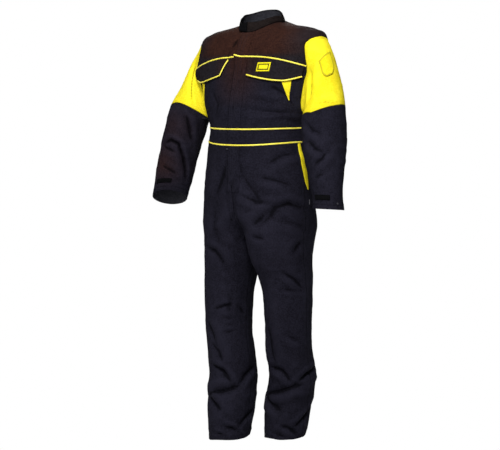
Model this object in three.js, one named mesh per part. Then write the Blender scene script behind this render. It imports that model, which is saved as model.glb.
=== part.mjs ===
// Welding coverall, worn shape held up at the neck: millimetres, +Z up, origin at the base of the neck.
// The front faces -Y and the wearer's left is +X.
import * as THREE from 'three';

// Lengths down the body
const BODICE_LENGTH = 380;
const WAISTBAND_HEIGHT = 48;
const SEAT_LENGTH = 362;
const INSEAM = 750;

// Widths and reaches, from the middle of the body
const NECK_RADIUS = 84;
const SHOULDER_HALF_WIDTH = 270;
const HIP_HALF_WIDTH = 228;
const FRONT_REACH = 172;
const BACK_REACH = 128;
const LEG_RADIUS = 90;
const LEG_SPREAD = 109;
const STRIDE = 68;

// Sleeves
const CUFF_DROP = 652;
const CUFF_SPREAD = 386;
const CUFF_FORWARD = 106;
const SLEEVE_RADIUS = 80;

// Collar
const COLLAR_HEIGHT = 40;
const COLLAR_LEAN = 5;
const COLLAR_TAB_WIDTH = 34;
const COLLAR_TAB_RISE = { foot: 0.18, top: 1.04 };

// Cloth
const CLOTH = 2;
const COLLAR_CLOTH = 3;
const TRIM_CLOTH = 1.5;
const SEAM_GAP = 0.4;
const LAID_ON = 0.9;
const OVER_CURVE = 1.7;

// Front closing and trims
const PLACKET_WIDTH = 60;
const PLACKET_EDGE = 23;
const PLACKET_FOOT = 180;
const PLACKET_TOP = 8;
const PIPING_WIDTH = 5;
const FLAP_DEPTH = 82;
const FLAP_STAND_OFF = 4;
const ARMHOLE_MARGIN = 5;
const CHEST_WEDGE_WIDTH = 34;
const CHEST_WEDGE_LENGTH = 66;
const CHEST_WEDGE_X = 188;
const CHEST_WEDGE_DRIFT = 6;
const HIP_WEDGE_WIDTH = 20;
const HIP_WEDGE_LENGTH = 165;
const HIP_WEDGE_TURN = { top: 85, foot: 95 };
const PATCH_WIDTH = 58;
const PATCH_HEIGHT = 32;
const PATCH_X = 112;
const PATCH_BELOW_YOKE = 16;
const PATCH_FOOT_ON_FLAP = 0.6;
const BADGE_WIDTH = 64;
const BADGE_HEIGHT = 84;
const CUFF_TAB_LENGTH = 62;
const CUFF_TAB_WIDTH = 16;
const WEDGE_TIP = 3;
const FOLD_WIDTH = 24;
const FOLD_DEPTH = 10;

// Where the body is divided, as rows of the section tables below
const ROW = { neck: 0, shoulder: 4, yoke: 5, underarm: 9, waist: 10, band: 11, crotch: 16, hem: 26 };

function table(columns, ...rows) {
  const names = columns.split(' ');
  return rows.map((row) => Object.fromEntries(names.map((name, i) => [name, row[i]])));
}

// Drops are shares of the bodice length, half widths of the shoulder, reaches of the front and back reach.
const BODICE_SECTIONS = table(
  'frontDrop sideDrop backDrop halfWidth front back square',
  [0.1, 0, -0.053, NECK_RADIUS / SHOULDER_HALF_WIDTH, 0.512, 0.625, 2],
  [0.15, 0.028, -0.015, 0.48, 0.6, 0.78, 2.1],
  [0.195, 0.048, 0.03, 0.66, 0.65, 0.875, 2.2],
  [0.24, 0.072, 0.085, 0.83, 0.692, 0.937, 2.3],
  [0.282, 0.15, 0.165, 0.985, 0.72, 0.984, 2.4],
  [0.33, 0.447, 0.395, 0.985, 0.756, 1.031, 2.6],
  [0.435, 0.566, 0.526, 0.948, 0.802, 1.047, 2.6],
  [0.55, 0.685, 0.655, 0.915, 0.855, 1.055, 2.5],
  [0.69, 0.79, 0.78, 0.875, 0.913, 1.039, 2.4],
  [0.842, 0.868, 0.868, 0.815, 0.965, 1.016, 2.3],
  [1.008, 0.995, 0.995, 0.738, 1, 0.985, 2.2],
);

// The waistband's foot dips at the centre of the front.
const WAISTBAND_FOOT = {
  frontDrop: 1.25,
  sideDrop: 1,
  backDrop: 1,
};

// The seat: drops are shares of the seat length below the waistband. Centres and half widths are shares of the
// hip half width, the middle, front and back of the front and back reach added together.
const SEAT_SECTIONS = table(
  'drop centre halfWidth middle front back frontSquare backSquare',
  [0, 0, 0.873, -0.073, 0.503, 0.5, 2.2, 2.2],
  [0.2, 0.01, 0.905, -0.083, 0.503, 0.517, 2.2, 2.2],
  [0.45, 0.05, 0.905, -0.093, 0.497, 0.537, 2.2, 2.3],
  [0.68, 0.2, 0.765, -0.097, 0.483, 0.54, 2.1, 2.4],
  [0.85, 0.405, 0.555, -0.1, 0.467, 0.52, 2, 2.5],
  [1, 0.455, 0.49, -0.1, 0.45, 0.49, 2, 2.3],
);

// The legs: drops are shares of the inseam, centres of the leg spread, half widths and reaches of the leg
// radius, the middle of the front reach and the stride of the stride.
const LEG_SECTIONS = table(
  'drop centre halfWidth middle front back square stride',
  [0.08, 0.985, 1.17, -0.165, 1.45, 1.5, 2, 0.1],
  [0.17, 1.04, 1.1, -0.15, 1.27, 1.3, 2, 0.25],
  [0.27, 1.08, 1.0, -0.145, 1.13, 1.14, 2, 0.4],
  [0.37, 1.06, 0.96, -0.14, 1.08, 1.08, 2, 0.5],
  [0.48, 1.02, 0.94, -0.12, 1.04, 1.05, 2, 0.62],
  [0.58, 0.94, 0.95, -0.07, 1.03, 1.06, 2.1, 0.72],
  [0.7, 0.91, 0.985, 0.02, 1.04, 1.08, 2.1, 0.84],
  [0.8, 0.82, 1.01, -0.05, 1.06, 1.07, 2.1, 0.9],
  [0.9, 0.78, 0.96, -0.105, 1.02, 1.02, 2, 0.96],
  [1, 0.745, 0.87, -0.165, 0.92, 0.92, 2, 1],
);

// How full each leg hangs, as shares of the leg radius.
const LEG_FULLNESS = { left: 0.985, right: 1 };

// How much of the cuff's pitch each sleeve has.
const CUFF_LIFT = { left: 0.15, right: 1 };

// The edge of the armhole: a row of the body and the angle from the centre of the front and of the back.
const ARMHOLE = table(
  'row front back',
  [4, 90, 90],
  [4.06, 73, 76],
  [4.22, 63, 68],
  [4.55, 63, 66],
  [5, 67, 66],
  [5.5, 67, 65],
  [6.2, 64.5, 64],
  [7, 64, 63],
  [7.8, 66, 65],
  [8.45, 71, 70],
  [8.85, 79, 78],
  [9, 90, 90],
);

// Sections of a sleeve below the armhole: spread, drop and forward are shares of where the cuff ends, reach and
// depth of the sleeve radius. Lean tips the outer edge up, turn brings it forward and pitch lifts the front edge.
const SLEEVE_SECTIONS = table(
  'spread drop forward reach depth lean turn pitch',
  [0.7, 0.352, 0.1, 1.56, 0.9, 71, 0, 0],
  [0.762, 0.434, 0.27, 1.17, 0.94, 48, 0, 0],
  [0.815, 0.497, 0.5, 1.02, 0.95, 20, 0, 3],
  [0.856, 0.603, 0.63, 0.98, 0.98, 8, 5, 5],
  [0.892, 0.712, 0.77, 0.95, 0.92, 5, 20, 8],
  [0.925, 0.82, 0.87, 0.94, 0.76, 5, 40, 12],
  [0.96, 0.932, 0.95, 0.88, 0.63, 5, 45, 18],
  [0.985, 1, 1, 0.84, 0.59, 5, 45, 22],
);
const BADGE_PLACE = { turn: 24, row: 1.4 };
const CUFF_TAB_PLACE = { left: { turn: 35, row: 7.1 }, right: { turn: 60, row: 7.1 } };
const SLEEVE_SEAM = 3;
const SLEEVE_END = SLEEVE_SECTIONS.length;

// Folds of the trousers: side 1 is the wearer's left, -1 the right and 0 both. Angles go from the centre of the
// front, drops are shares of the inseam (negative above the crotch), and width and depth of one fold's.
const TROUSER_FOLDS = table(
  'side angle drop toAngle toDrop width depth',
  [1, 25, -0.11, 80, -0.15, 1, -1],
  [1, 10, -0.05, 45, -0.125, 1, 0.7],
  [-1, 20, -0.28, 55, -0.2, 1, -0.5],
  [1, 30, -0.3, 75, -0.22, 1, -0.5],
  [0, -60, 0.755, 60, 0.775, 0.9, -1.2],
  [0, -70, 0.715, 5, 0.745, 0.9, 0.8],
  [0, 80, 0.71, 20, 0.745, 0.9, 0.8],
  [0, -70, 0.8, 0, 0.83, 0.8, -0.8],
  [0, 90, 0.82, 20, 0.86, 0.9, -0.7],
  [0, -20, 0.88, 50, 0.91, 0.8, -0.6],
  [-1, -70, 0.33, 20, 0.34, 1, -0.5],
  [1, 20, 0.2, 80, 0.25, 1, -0.5],
);

// Folds of the bodice: rows instead of drops.
const BODICE_FOLDS = table(
  'side angle row toAngle toRow width depth',
  [1, 30, 8.4, 62, 9.7, 1, -0.4],
  [-1, 30, 8.4, 62, 9.4, 1, -0.4],
);

// Folds of the sleeves, in shares of a turn from the top towards the front and rows of the sleeve table.
const SLEEVE_FOLDS = table(
  'side turn row toTurn toRow width depth',
  [0, 0.1, 4.7, 0.38, 5.3, 1, -0.8],
  [0, 0.35, 3.3, 0.42, 4.8, 1, -0.7],
  [0, 0.05, 5.2, 0.3, 5.6, 1, 0.6],
  [0, 0.12, 6.4, 0.3, 6.7, 0.8, -0.6],
);

const NAVY = { color: 0x191a22, roughness: 0.9, metalness: 0 };
const BROWN_BLACK = { color: 0x2a1c1c, roughness: 0.9, metalness: 0 };
const YELLOW = { color: 0xf4e63a, roughness: 0.85, metalness: 0 };
const PIPING = { color: 0xece08a, roughness: 0.7, metalness: 0 };

const sideName = (side) => (side > 0 ? 'left' : 'right');
const degrees = THREE.MathUtils.degToRad;
const lerp = THREE.MathUtils.lerp;
const group = new THREE.Group();

// Smooth curve through the rows of a table, for every number in a row.
function smoothRow(rows, at) {
  const last = rows.length - 1;
  const i = Math.min(Math.max(Math.floor(at), 0), last - 1);
  const t = at - i;
  const [a, b, c, d] = [i - 1, i, i + 1, i + 2].map((k) => rows[Math.min(Math.max(k, 0), last)]);
  const blend = (p, q, r, s) => q + 0.5 * t * (r - p + t * (2 * p - 5 * q + 4 * r - s + t * (3 * (q - r) + s - p)));
  return Object.fromEntries(Object.keys(b).map((key) => [key, blend(a[key], b[key], c[key], d[key])]));
}

// A power that keeps the sign, for squared-off ellipses.
function signedPower(value, power) {
  return Math.sign(value) * Math.abs(value) ** power;
}

const BODY_REACH = FRONT_REACH + BACK_REACH;
const bandTop = -BODICE_LENGTH;
const bandFoot = bandTop - WAISTBAND_HEIGHT;
const crotchLevel = bandFoot - SEAT_LENGTH;
const hemLevel = crotchLevel - INSEAM;

function bodiceSection(row) {
  const length = BODICE_LENGTH;
  return {
    frontZ: -row.frontDrop * length,
    sideZ: -row.sideDrop * length,
    backZ: -row.backDrop * length,
    centreX: 0,
    halfX: row.halfWidth * SHOULDER_HALF_WIDTH,
    centreY: 0,
    front: row.front * FRONT_REACH,
    back: row.back * BACK_REACH,
    frontSquare: row.square,
    backSquare: row.square,
    stride: 0,
  };
}

function seatSection(row) {
  const z = bandFoot - row.drop * SEAT_LENGTH;
  const atTop = row.drop === 0;
  return {
    frontZ: atTop ? bandTop - WAISTBAND_FOOT.frontDrop * WAISTBAND_HEIGHT : z,
    sideZ: z,
    backZ: z,
    centreX: row.centre * HIP_HALF_WIDTH,
    halfX: row.halfWidth * HIP_HALF_WIDTH,
    centreY: row.middle * BODY_REACH,
    front: row.front * BODY_REACH,
    back: row.back * BODY_REACH,
    frontSquare: row.frontSquare,
    backSquare: row.backSquare,
    stride: 0,
  };
}

function legSection(row) {
  const z = crotchLevel - row.drop * INSEAM;
  return {
    frontZ: z,
    sideZ: z,
    backZ: z,
    centreX: row.centre * LEG_SPREAD,
    halfX: row.halfWidth * LEG_RADIUS,
    centreY: row.middle * FRONT_REACH,
    front: row.front * LEG_RADIUS,
    back: row.back * LEG_RADIUS,
    frontSquare: row.square,
    backSquare: row.square,
    stride: row.stride * STRIDE,
  };
}

const BODY = [
  ...BODICE_SECTIONS.map(bodiceSection),
  ...SEAT_SECTIONS.map(seatSection),
  ...LEG_SECTIONS.map(legSection),
];

// How far a point lies off a fold's line, as a smooth bump that fades towards the line's two ends.
function foldBump(u, v, fold) {
  const along = fold.to.clone().sub(fold.from);
  const length = along.length();
  along.divideScalar(length);
  const off = new THREE.Vector2(u, v).sub(fold.from);
  const t = off.dot(along) / length;
  const aside = off.cross(along);
  const fade = Math.max(0, 1 - Math.abs(2 * t - 1) ** 4);
  return t < 0 || t > 1 ? 0 : fade * Math.exp(-((aside / fold.width) ** 2)) * fold.depth;
}

const foldsAt = (folds, side, u, v) => folds
  .filter((fold) => fold.side === 0 || fold.side === side)
  .reduce((sum, fold) => sum + foldBump(u, v, fold), 0);

// Folds are laid out on a flat plan: across in millimetres from the centre of the front, and down the body.
function planFolds(folds, plan) {
  return folds.map((fold) => {
    const [from, to] = plan(fold);
    return { side: fold.side, from, to, width: fold.width * FOLD_WIDTH, depth: fold.depth * FOLD_DEPTH };
  });
}

const onLeg = (angle, drop) => new THREE.Vector2(degrees(angle) * LEG_RADIUS, crotchLevel - drop * INSEAM);
const trouserFolds = planFolds(TROUSER_FOLDS, (f) => [onLeg(f.angle, f.drop), onLeg(f.toAngle, f.toDrop)]);

const bodicePlan = (angle, row) => {
  const section = smoothRow(BODY, row);
  return new THREE.Vector2(degrees(angle) * FRONT_REACH, section.frontZ);
};
const bodiceFolds = planFolds(BODICE_FOLDS, (f) => [bodicePlan(f.angle, f.row), bodicePlan(f.toAngle, f.toRow)]);

function bodyBump(side, angle, row, z) {
  const below = row > ROW.band;
  const across = angle * (below ? LEG_RADIUS : FRONT_REACH);
  const fadeIn = below ? Math.min(1, (row - ROW.band) / 0.5) : 1;
  return foldsAt(below ? trouserFolds : bodiceFolds, side, across, z) * fadeIn;
}

// A point of the body's outer face. The angle goes from the centre of the front round the wearer's side.
function plainBodyPoint(side, angle, row) {
  const s = smoothRow(BODY, row);
  const sin = Math.sin(angle);
  const cos = Math.cos(angle);
  const square = 2 / (cos > 0 ? s.frontSquare : s.backSquare);
  const full = lerp(1, LEG_FULLNESS[sideName(side)], THREE.MathUtils.clamp(row - ROW.crotch, 0, 1));
  const x = Math.max(s.centreX + full * s.halfX * signedPower(sin, square), SEAM_GAP / 2);
  const y = s.centreY - full * (cos > 0 ? s.front : s.back) * signedPower(cos, square) + side * s.stride;
  const z = lerp(s.sideZ, cos > 0 ? s.frontZ : s.backZ, cos * cos);
  return new THREE.Vector3(side * x, y, z);
}

function plainBodyNormal(side, angle, row) {
  const turn = 0.01;
  const step = 0.02;
  const around = plainBodyPoint(side, angle + turn, row).sub(plainBodyPoint(side, angle - turn, row));
  const low = Math.min(row + step, BODY.length - 1);
  const high = Math.max(row - step, 0);
  const down = plainBodyPoint(side, angle, low).sub(plainBodyPoint(side, angle, high));
  return around.cross(down).multiplyScalar(-side).normalize();
}

function bodyPoint(side, angle, row) {
  const point = plainBodyPoint(side, angle, row);
  const bump = bodyBump(side, angle, row, point.z);
  const normal = plainBodyNormal(side, angle, row);
  point.addScaledVector(normal, bump);
  if (side * point.x < SEAM_GAP / 2) point.x = side * SEAM_GAP / 2;
  return { point, normal };
}

// The angle at which a section reaches a distance from the middle plane, on its front or back.
function angleAtX(row, x, square) {
  const s = smoothRow(BODY, row);
  const share = THREE.MathUtils.clamp((x - s.centreX) / s.halfX, -1, 1);
  return Math.asin(signedPower(share, s[square] / 2));
}

const FURTHEST_IN = degrees(-58);
const frontStart = (row) => Math.max(angleAtX(row, SEAM_GAP / 2, 'frontSquare'), FURTHEST_IN);
const backEnd = (row) => Math.PI - Math.max(angleAtX(row, SEAM_GAP / 2, 'backSquare'), FURTHEST_IN);

// Point and normal on the front of the body at a distance from the middle plane, positive on the wearer's left.
function frontPoint(x, row) {
  const side = x < 0 ? -1 : 1;
  return bodyPoint(side, angleAtX(row, Math.max(Math.abs(x), SEAM_GAP / 2), 'frontSquare'), row);
}

// A surface is a list of points with normals and of four-sided faces. This one is a grid of rows and columns.
function gridSurface(rows, columns, at, closed = false) {
  const surface = { points: [], faces: [] };
  const width = columns.length;
  rows.forEach((v, j) => columns.forEach((u, i) => surface.points.push(at(u, v, i, j))));
  const across = closed ? width : width - 1;
  for (let j = 0; j < rows.length - 1; j += 1) {
    for (let i = 0; i < across; i += 1) {
      const next = (i + 1) % width;
      surface.faces.push([j * width + i, j * width + next, (j + 1) * width + next, (j + 1) * width + i]);
    }
  }
  return surface;
}

// Boundary edges are those that only one face uses, in that face's own direction.
function boundaryEdges(faces) {
  const seen = new Map();
  for (const face of faces) {
    face.forEach((a, i) => {
      const b = face[(i + 1) % face.length];
      const key = Math.min(a, b) * 1e6 + Math.max(a, b);
      seen.set(key, seen.has(key) ? null : [a, b]);
    });
  }
  return [...seen.values()].filter(Boolean);
}

// Draws the edges of a surface back into it, so that neighbours along a seam keep a gap.
function drawBack(surface, distance) {
  const { points, faces } = surface;
  const edge = boundaryEdges(faces);
  const onEdge = new Set(edge.flat());
  const moves = new Map();
  for (const [a, b] of edge) {
    const along = points[b].point.clone().sub(points[a].point).normalize();
    for (const i of [a, b]) {
      const inward = points[i].normal.clone().cross(along);
      moves.set(i, [...(moves.get(i) ?? []), inward.normalize()]);
    }
  }
  const faceCentre = new Map();
  for (const face of faces) {
    const middle = face.reduce((sum, i) => sum.add(points[i].point), new THREE.Vector3()).divideScalar(face.length);
    face.filter((i) => onEdge.has(i)).forEach((i) => faceCentre.set(i, middle));
  }
  for (const [i, directions] of moves) {
    const inside = faceCentre.get(i).clone().sub(points[i].point);
    const [first, second] = directions;
    const move = first.clone();
    if (second && Math.abs(first.dot(second)) < 0.7) move.add(second);
    else if (second) move.add(second).normalize();
    if (move.dot(inside) < 0) move.negate();
    points[i] = { ...points[i], moved: move.multiplyScalar(distance) };
  }
  surface.points = points.map(({ point, normal, moved }) => ({
    point: moved ? point.clone().add(moved) : point,
    normal,
  }));
  return surface;
}

// Positive where the triangles face outwards.
function signedVolume(positions, triangles) {
  const corner = (i) => new THREE.Vector3().fromArray(positions, triangles[i] * 3);
  let sum = 0;
  for (let i = 0; i < triangles.length; i += 3) sum += corner(i).dot(corner(i + 1).cross(corner(i + 2)));
  return sum;
}

// Gives a surface a wall: from `lift` above it (a number or a function of the point) by one thickness outward.
function addWall(name, finish, surface, { lift = -CLOTH, thickness = CLOTH } = {}) {
  const { points, faces } = surface;
  const count = points.length;
  const positions = new Float32Array(count * 6);
  points.forEach(({ point, normal }, i) => {
    const low = typeof lift === 'function' ? lift(point) : lift;
    point.clone().addScaledVector(normal, low + thickness).toArray(positions, i * 3);
    point.clone().addScaledVector(normal, low).toArray(positions, (count + i) * 3);
  });
  const triangles = [];
  const face4 = (a, b, c, d) => triangles.push(a, b, c, a, c, d);
  for (const [a, b, c, d] of faces) {
    face4(a, b, c, d);
    face4(count + d, count + c, count + b, count + a);
  }
  for (const [a, b] of boundaryEdges(faces)) face4(b, a, count + a, count + b);
  if (signedVolume(positions, triangles) < 0) triangles.reverse();
  const geometry = new THREE.BufferGeometry();
  geometry.setAttribute('position', new THREE.BufferAttribute(positions, 3));
  geometry.setIndex(triangles);
  geometry.computeVertexNormals();
  const mesh = new THREE.Mesh(geometry, new THREE.MeshStandardMaterial({ ...finish, side: THREE.FrontSide }));
  mesh.name = name;
  group.add(mesh);
}

const steps = (from, to, count) => Array.from({ length: count + 1 }, (_, i) => lerp(from, to, i / count));
const PANEL_COLUMNS = 8;
const TROUSER_COLUMNS = 2 * PANEL_COLUMNS;
const CROTCH_COLUMNS = 6;
const armholeRows = ARMHOLE.map((mark) => mark.row);

// The angle where a front or back panel ends: the armhole's edge beside it, otherwise the side or shoulder seam.
function armholeAngle(row, part) {
  const last = ARMHOLE.length - 1;
  if (row <= ARMHOLE[0].row || row >= ARMHOLE[last].row) return 90;
  const i = ARMHOLE.findIndex((mark) => mark.row > row) - 1;
  const [low, high] = [ARMHOLE[i], ARMHOLE[i + 1]];
  return lerp(low[part], high[part], (row - low.row) / (high.row - low.row));
}

function frontPanel(side, rows) {
  const at = (share, row) => bodyPoint(side, lerp(frontStart(row), degrees(armholeAngle(row, 'front')), share), row);
  return drawBack(gridSurface(rows, steps(0, 1, PANEL_COLUMNS), at), SEAM_GAP / 2);
}

function backPanel(rows) {
  const columns = steps(-1, 1, 2 * PANEL_COLUMNS);
  const at = (share, row) => {
    const side = share < 0 ? 1 : -1;
    const edge = degrees(armholeAngle(row, 'back'));
    const found = bodyPoint(side, Math.PI - edge * Math.abs(share), row);
    if (share === 0) found.point.x = 0;
    return found;
  };
  return drawBack(gridSurface(rows, columns, at), SEAM_GAP / 2);
}

const YOKE_ROWS = [0, 1, 2, 3, ...armholeRows.filter((row) => row <= ROW.yoke)];
const PANEL_ROWS = [...armholeRows.filter((row) => row >= ROW.yoke), 9.5, ROW.waist];

for (const side of [1, -1]) {
  addWall(`yoke_front_${sideName(side)}`, BROWN_BLACK, frontPanel(side, YOKE_ROWS));
  addWall(`chest_panel_${sideName(side)}`, NAVY, frontPanel(side, PANEL_ROWS));
}
addWall('yoke_back', BROWN_BLACK, backPanel(YOKE_ROWS));
addWall('back_panel', NAVY, backPanel(PANEL_ROWS));

// The waistband runs from the front closing round the back to the other front edge.
function waistband() {
  const columns = steps(0, 2, 2 * TROUSER_COLUMNS);
  const at = (share, row) => {
    const side = share <= 1 ? 1 : -1;
    const start = frontStart(row);
    const angle = lerp(start, Math.PI, share <= 1 ? share : 2 - share);
    const found = bodyPoint(side, angle, row);
    if (share === 1) found.point.x = 0;
    return found;
  };
  return drawBack(gridSurface([ROW.waist, ROW.band], columns, at), SEAM_GAP / 2);
}
addWall('waistband', NAVY, waistband());

// Rows of a trouser leg, closer together where its folds are
const SEAT_ROWS = [ROW.band, 12, 13, 13.5, 14, 14.5, 15, 15.5, ROW.crotch];
const LEG_ROWS = [16.75, 17.5, 18.25, 19, 19.75, 20.5, 21.25, 22, 22.5, 23, 23.35, 23.7, 24, 24.5, 25, 25.5, ROW.hem];

// A trouser leg is open at the front and back middle above the crotch and a closed tube below it.
function trouserLeg(side) {
  const surface = { points: [], faces: [] };
  const outerColumns = steps(0, 1, TROUSER_COLUMNS);
  const innerColumns = steps(0, 1, CROTCH_COLUMNS).slice(1, -1);
  const rowStarts = [];
  for (const row of [...SEAT_ROWS, ...LEG_ROWS]) {
    rowStarts.push(surface.points.length);
    const [from, to] = [frontStart(row), backEnd(row)];
    outerColumns.forEach((share) => surface.points.push(bodyPoint(side, lerp(from, to, share), row)));
    if (row < ROW.crotch) continue;
    innerColumns.forEach((share) => {
      surface.points.push(bodyPoint(side, lerp(to, from + 2 * Math.PI, share), row));
    });
  }
  const outer = outerColumns.length;
  const ring = outer + innerColumns.length;
  const openRows = SEAT_ROWS.length - 1;
  rowStarts.slice(0, -1).forEach((start, j) => {
    const below = rowStarts[j + 1];
    const across = j < openRows ? outer - 1 : ring;
    for (let i = 0; i < across; i += 1) {
      const next = (i + 1) % ring;
      surface.faces.push([start + i, start + next, below + next, below + i]);
    }
  });
  return drawBack(surface, SEAM_GAP / 2);
}
for (const side of [1, -1]) {
  addWall(`trouser_leg_${sideName(side)}`, NAVY, trouserLeg(side));
}

// A sleeve starts on the armhole's edge. Its columns go from the top round the front.
const RING = [
  ...ARMHOLE.map(({ row, front }) => ({ row, angle: degrees(front), back: false })),
  ...ARMHOLE.slice(1, -1).reverse().map(({ row, back }) => ({ row, angle: Math.PI - degrees(back), back: true })),
];
const armholeMiddle = (ROW.shoulder + ROW.underarm) / 2;
const armholeHalf = (ROW.underarm - ROW.shoulder) / 2;
const ringTurns = RING.map(({ row, back }) => {
  const turn = Math.acos(THREE.MathUtils.clamp((armholeMiddle - row) / armholeHalf, -1, 1));
  return back ? 2 * Math.PI - turn : turn;
});

const SLEEVE = SLEEVE_SECTIONS.map((row) => ({
  x: row.spread * CUFF_SPREAD,
  y: -row.forward * CUFF_FORWARD,
  z: -row.drop * CUFF_DROP,
  reach: row.reach * SLEEVE_RADIUS,
  depth: row.depth * SLEEVE_RADIUS,
  lean: degrees(row.lean),
  turn: degrees(row.turn),
  pitch: degrees(row.pitch),
}));

const onSleeve = (turn, row) => new THREE.Vector2(turn * 2 * Math.PI * SLEEVE_RADIUS, row * CUFF_DROP / SLEEVE_END);
const sleeveFolds = planFolds(SLEEVE_FOLDS, (f) => [onSleeve(f.turn, f.row), onSleeve(f.toTurn, f.toRow)]);

function sleeveRing(side, turn, section) {
  const { x, y, z, reach, depth, lean, turn: swing } = section;
  const pitch = section.pitch * CUFF_LIFT[sideName(side)];
  const outward = new THREE.Vector3(Math.cos(swing) * Math.cos(lean), -Math.sin(swing) * Math.cos(lean), Math.sin(lean));
  const forward = new THREE.Vector3(-Math.sin(swing), -Math.cos(swing), 0).multiplyScalar(Math.cos(pitch));
  forward.z = Math.sin(pitch);
  const point = new THREE.Vector3(x, y, z)
    .addScaledVector(outward, reach * Math.cos(turn))
    .addScaledVector(forward, depth * Math.sin(turn));
  point.x *= side;
  return point;
}

// Row 0 is the armhole, and rows from 1 on are the sections. Between them a point runs on a smooth curve.
function plainSleevePoint(side, turn, row, edge) {
  const ring = (k) => {
    if (k < 1) return edge;
    return sleeveRing(side, turn, SLEEVE[Math.min(k, SLEEVE_END) - 1]);
  };
  const i = Math.min(Math.floor(row), SLEEVE_END - 1);
  const rows = [i - 1, i, i + 1, i + 2].map(ring);
  if (i === 0) rows[0] = rows[1].clone().multiplyScalar(2).sub(rows[2]);
  if (i === SLEEVE_END - 1) rows[3] = rows[2].clone().multiplyScalar(2).sub(rows[1]);
  const at = (axis) => smoothRow(rows.map((p) => ({ value: p[axis] })), 1 + row - i).value;
  return new THREE.Vector3(at('x'), at('y'), at('z'));
}

function edgePoint(side, turn) {
  const full = 2 * Math.PI;
  const wrapped = ((turn % full) + full) % full;
  const back = wrapped > Math.PI;
  const row = armholeMiddle - armholeHalf * Math.cos(wrapped);
  const marks = degrees(armholeAngle(row, back ? 'back' : 'front'));
  return bodyPoint(side, back ? Math.PI - marks : marks, row);
}

function sleevePoint(side, turn, row) {
  const step = 0.02;
  const swing = 0.05;
  const start = edgePoint(side, turn);
  const point = plainSleevePoint(side, turn, row, start.point);
  if (row === 0) return start;
  const before = plainSleevePoint(side, turn - swing, row, edgePoint(side, turn - swing).point);
  const after = plainSleevePoint(side, turn + swing, row, edgePoint(side, turn + swing).point);
  const high = plainSleevePoint(side, turn, row - step, start.point);
  const low = plainSleevePoint(side, turn, Math.min(row + step, SLEEVE_END), start.point);
  const normal = after.sub(before).cross(low.sub(high)).multiplyScalar(side).normalize();
  const bump = foldsAt(sleeveFolds, side, turn * SLEEVE_RADIUS, row * CUFF_DROP / SLEEVE_END);
  return { point: point.addScaledVector(normal, bump), normal };
}

function sleeveSurface(side, rows) {
  const at = (turn, row) => sleevePoint(side, turn, row);
  return drawBack(gridSurface(rows, ringTurns, at, true), SEAM_GAP / 2);
}

for (const side of [1, -1]) {
  const name = sideName(side);
  addWall(`upper_sleeve_${name}`, YELLOW, sleeveSurface(side, [0, 0.4, 1, 1.6, 2.3, SLEEVE_SEAM]));
  addWall(`lower_sleeve_${name}`, NAVY, sleeveSurface(side, steps(SLEEVE_SEAM, SLEEVE_END, 8)));
}

// The row at which the front of the body, at a distance from the middle plane, is at a height.
function frontRow(x, z) {
  let [low, high] = [ROW.shoulder, ROW.crotch];
  for (let i = 0; i < 24; i += 1) {
    const middle = (low + high) / 2;
    if (frontPoint(x, middle).point.z > z) low = middle;
    else high = middle;
  }
  return (low + high) / 2;
}
const frontAt = (x, z) => frontPoint(x, frontRow(x, z));

// Trims that cross the placket climb over it.
const onPlacket = (x) => x > -PLACKET_EDGE - SEAM_GAP && x < PLACKET_WIDTH - PLACKET_EDGE + LAID_ON;
const overPlacket = (point) => (onPlacket(point.x) ? LAID_ON + TRIM_CLOTH + LAID_ON : LAID_ON);

// A ribbon along a curve of points with normals, with a width at each share of its length.
function ribbon(name, finish, curve, widthAt, lift, thickness = TRIM_CLOTH) {
  const last = curve.length - 1;
  const at = (across, i) => {
    const { point, normal } = curve[i];
    const along = curve[Math.min(i + 1, last)].point.clone().sub(curve[Math.max(i - 1, 0)].point);
    const aside = along.cross(normal).normalize();
    return { point: point.clone().addScaledVector(aside, across * widthAt(i / last) / 2), normal };
  };
  addWall(name, finish, gridSurface(curve.map((_, i) => i), [-1, 1], at), { lift, thickness });
}
const constant = (value) => () => value;

// The placket is the wearer's left front edge, lapped over the right and stitched down to its foot.
function placket() {
  const foot = frontRow(0, bandFoot - PLACKET_FOOT);
  const top = PLACKET_TOP / (SHOULDER_HALF_WIDTH - NECK_RADIUS) * ROW.shoulder;
  const rows = [top, ...steps(1, ROW.band, ROW.band - 1), ...steps(ROW.band, foot, 3).slice(1)];
  const columns = [-PLACKET_EDGE, 0, PLACKET_WIDTH - PLACKET_EDGE];
  const surface = gridSurface(rows, columns, (x, row) => frontPoint(x, row));
  addWall('placket', NAVY, drawBack(surface, SEAM_GAP), { lift: LAID_ON, thickness: TRIM_CLOTH });
}
placket();

// The left trims start on the placket's edge and the right ones just short of it.
const trimStart = (side) => (side > 0 ? [-PLACKET_EDGE + SEAM_GAP, 0] : []);
const firstX = (side) => (side > 0 ? PLACKET_WIDTH - PLACKET_EDGE - SEAM_GAP : PLACKET_EDGE + LAID_ON);

// The curve uses the columns of the panels under it, so the two stay parallel.
function ringCurve(side, row, seamAngle, count, toAngle) {
  const start = trimStart(side).map((x) => frontPoint(x, row));
  const from = angleAtX(row, firstX(side), 'frontSquare');
  const clear = angleAtX(row, firstX(side) + PIPING_WIDTH, 'frontSquare');
  const shared = steps(frontStart(row), seamAngle, count).filter((angle) => angle > clear && angle < toAngle);
  return [...start, ...[from, clear, ...shared, toAngle].map((angle) => bodyPoint(side, angle, row))];
}

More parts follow.
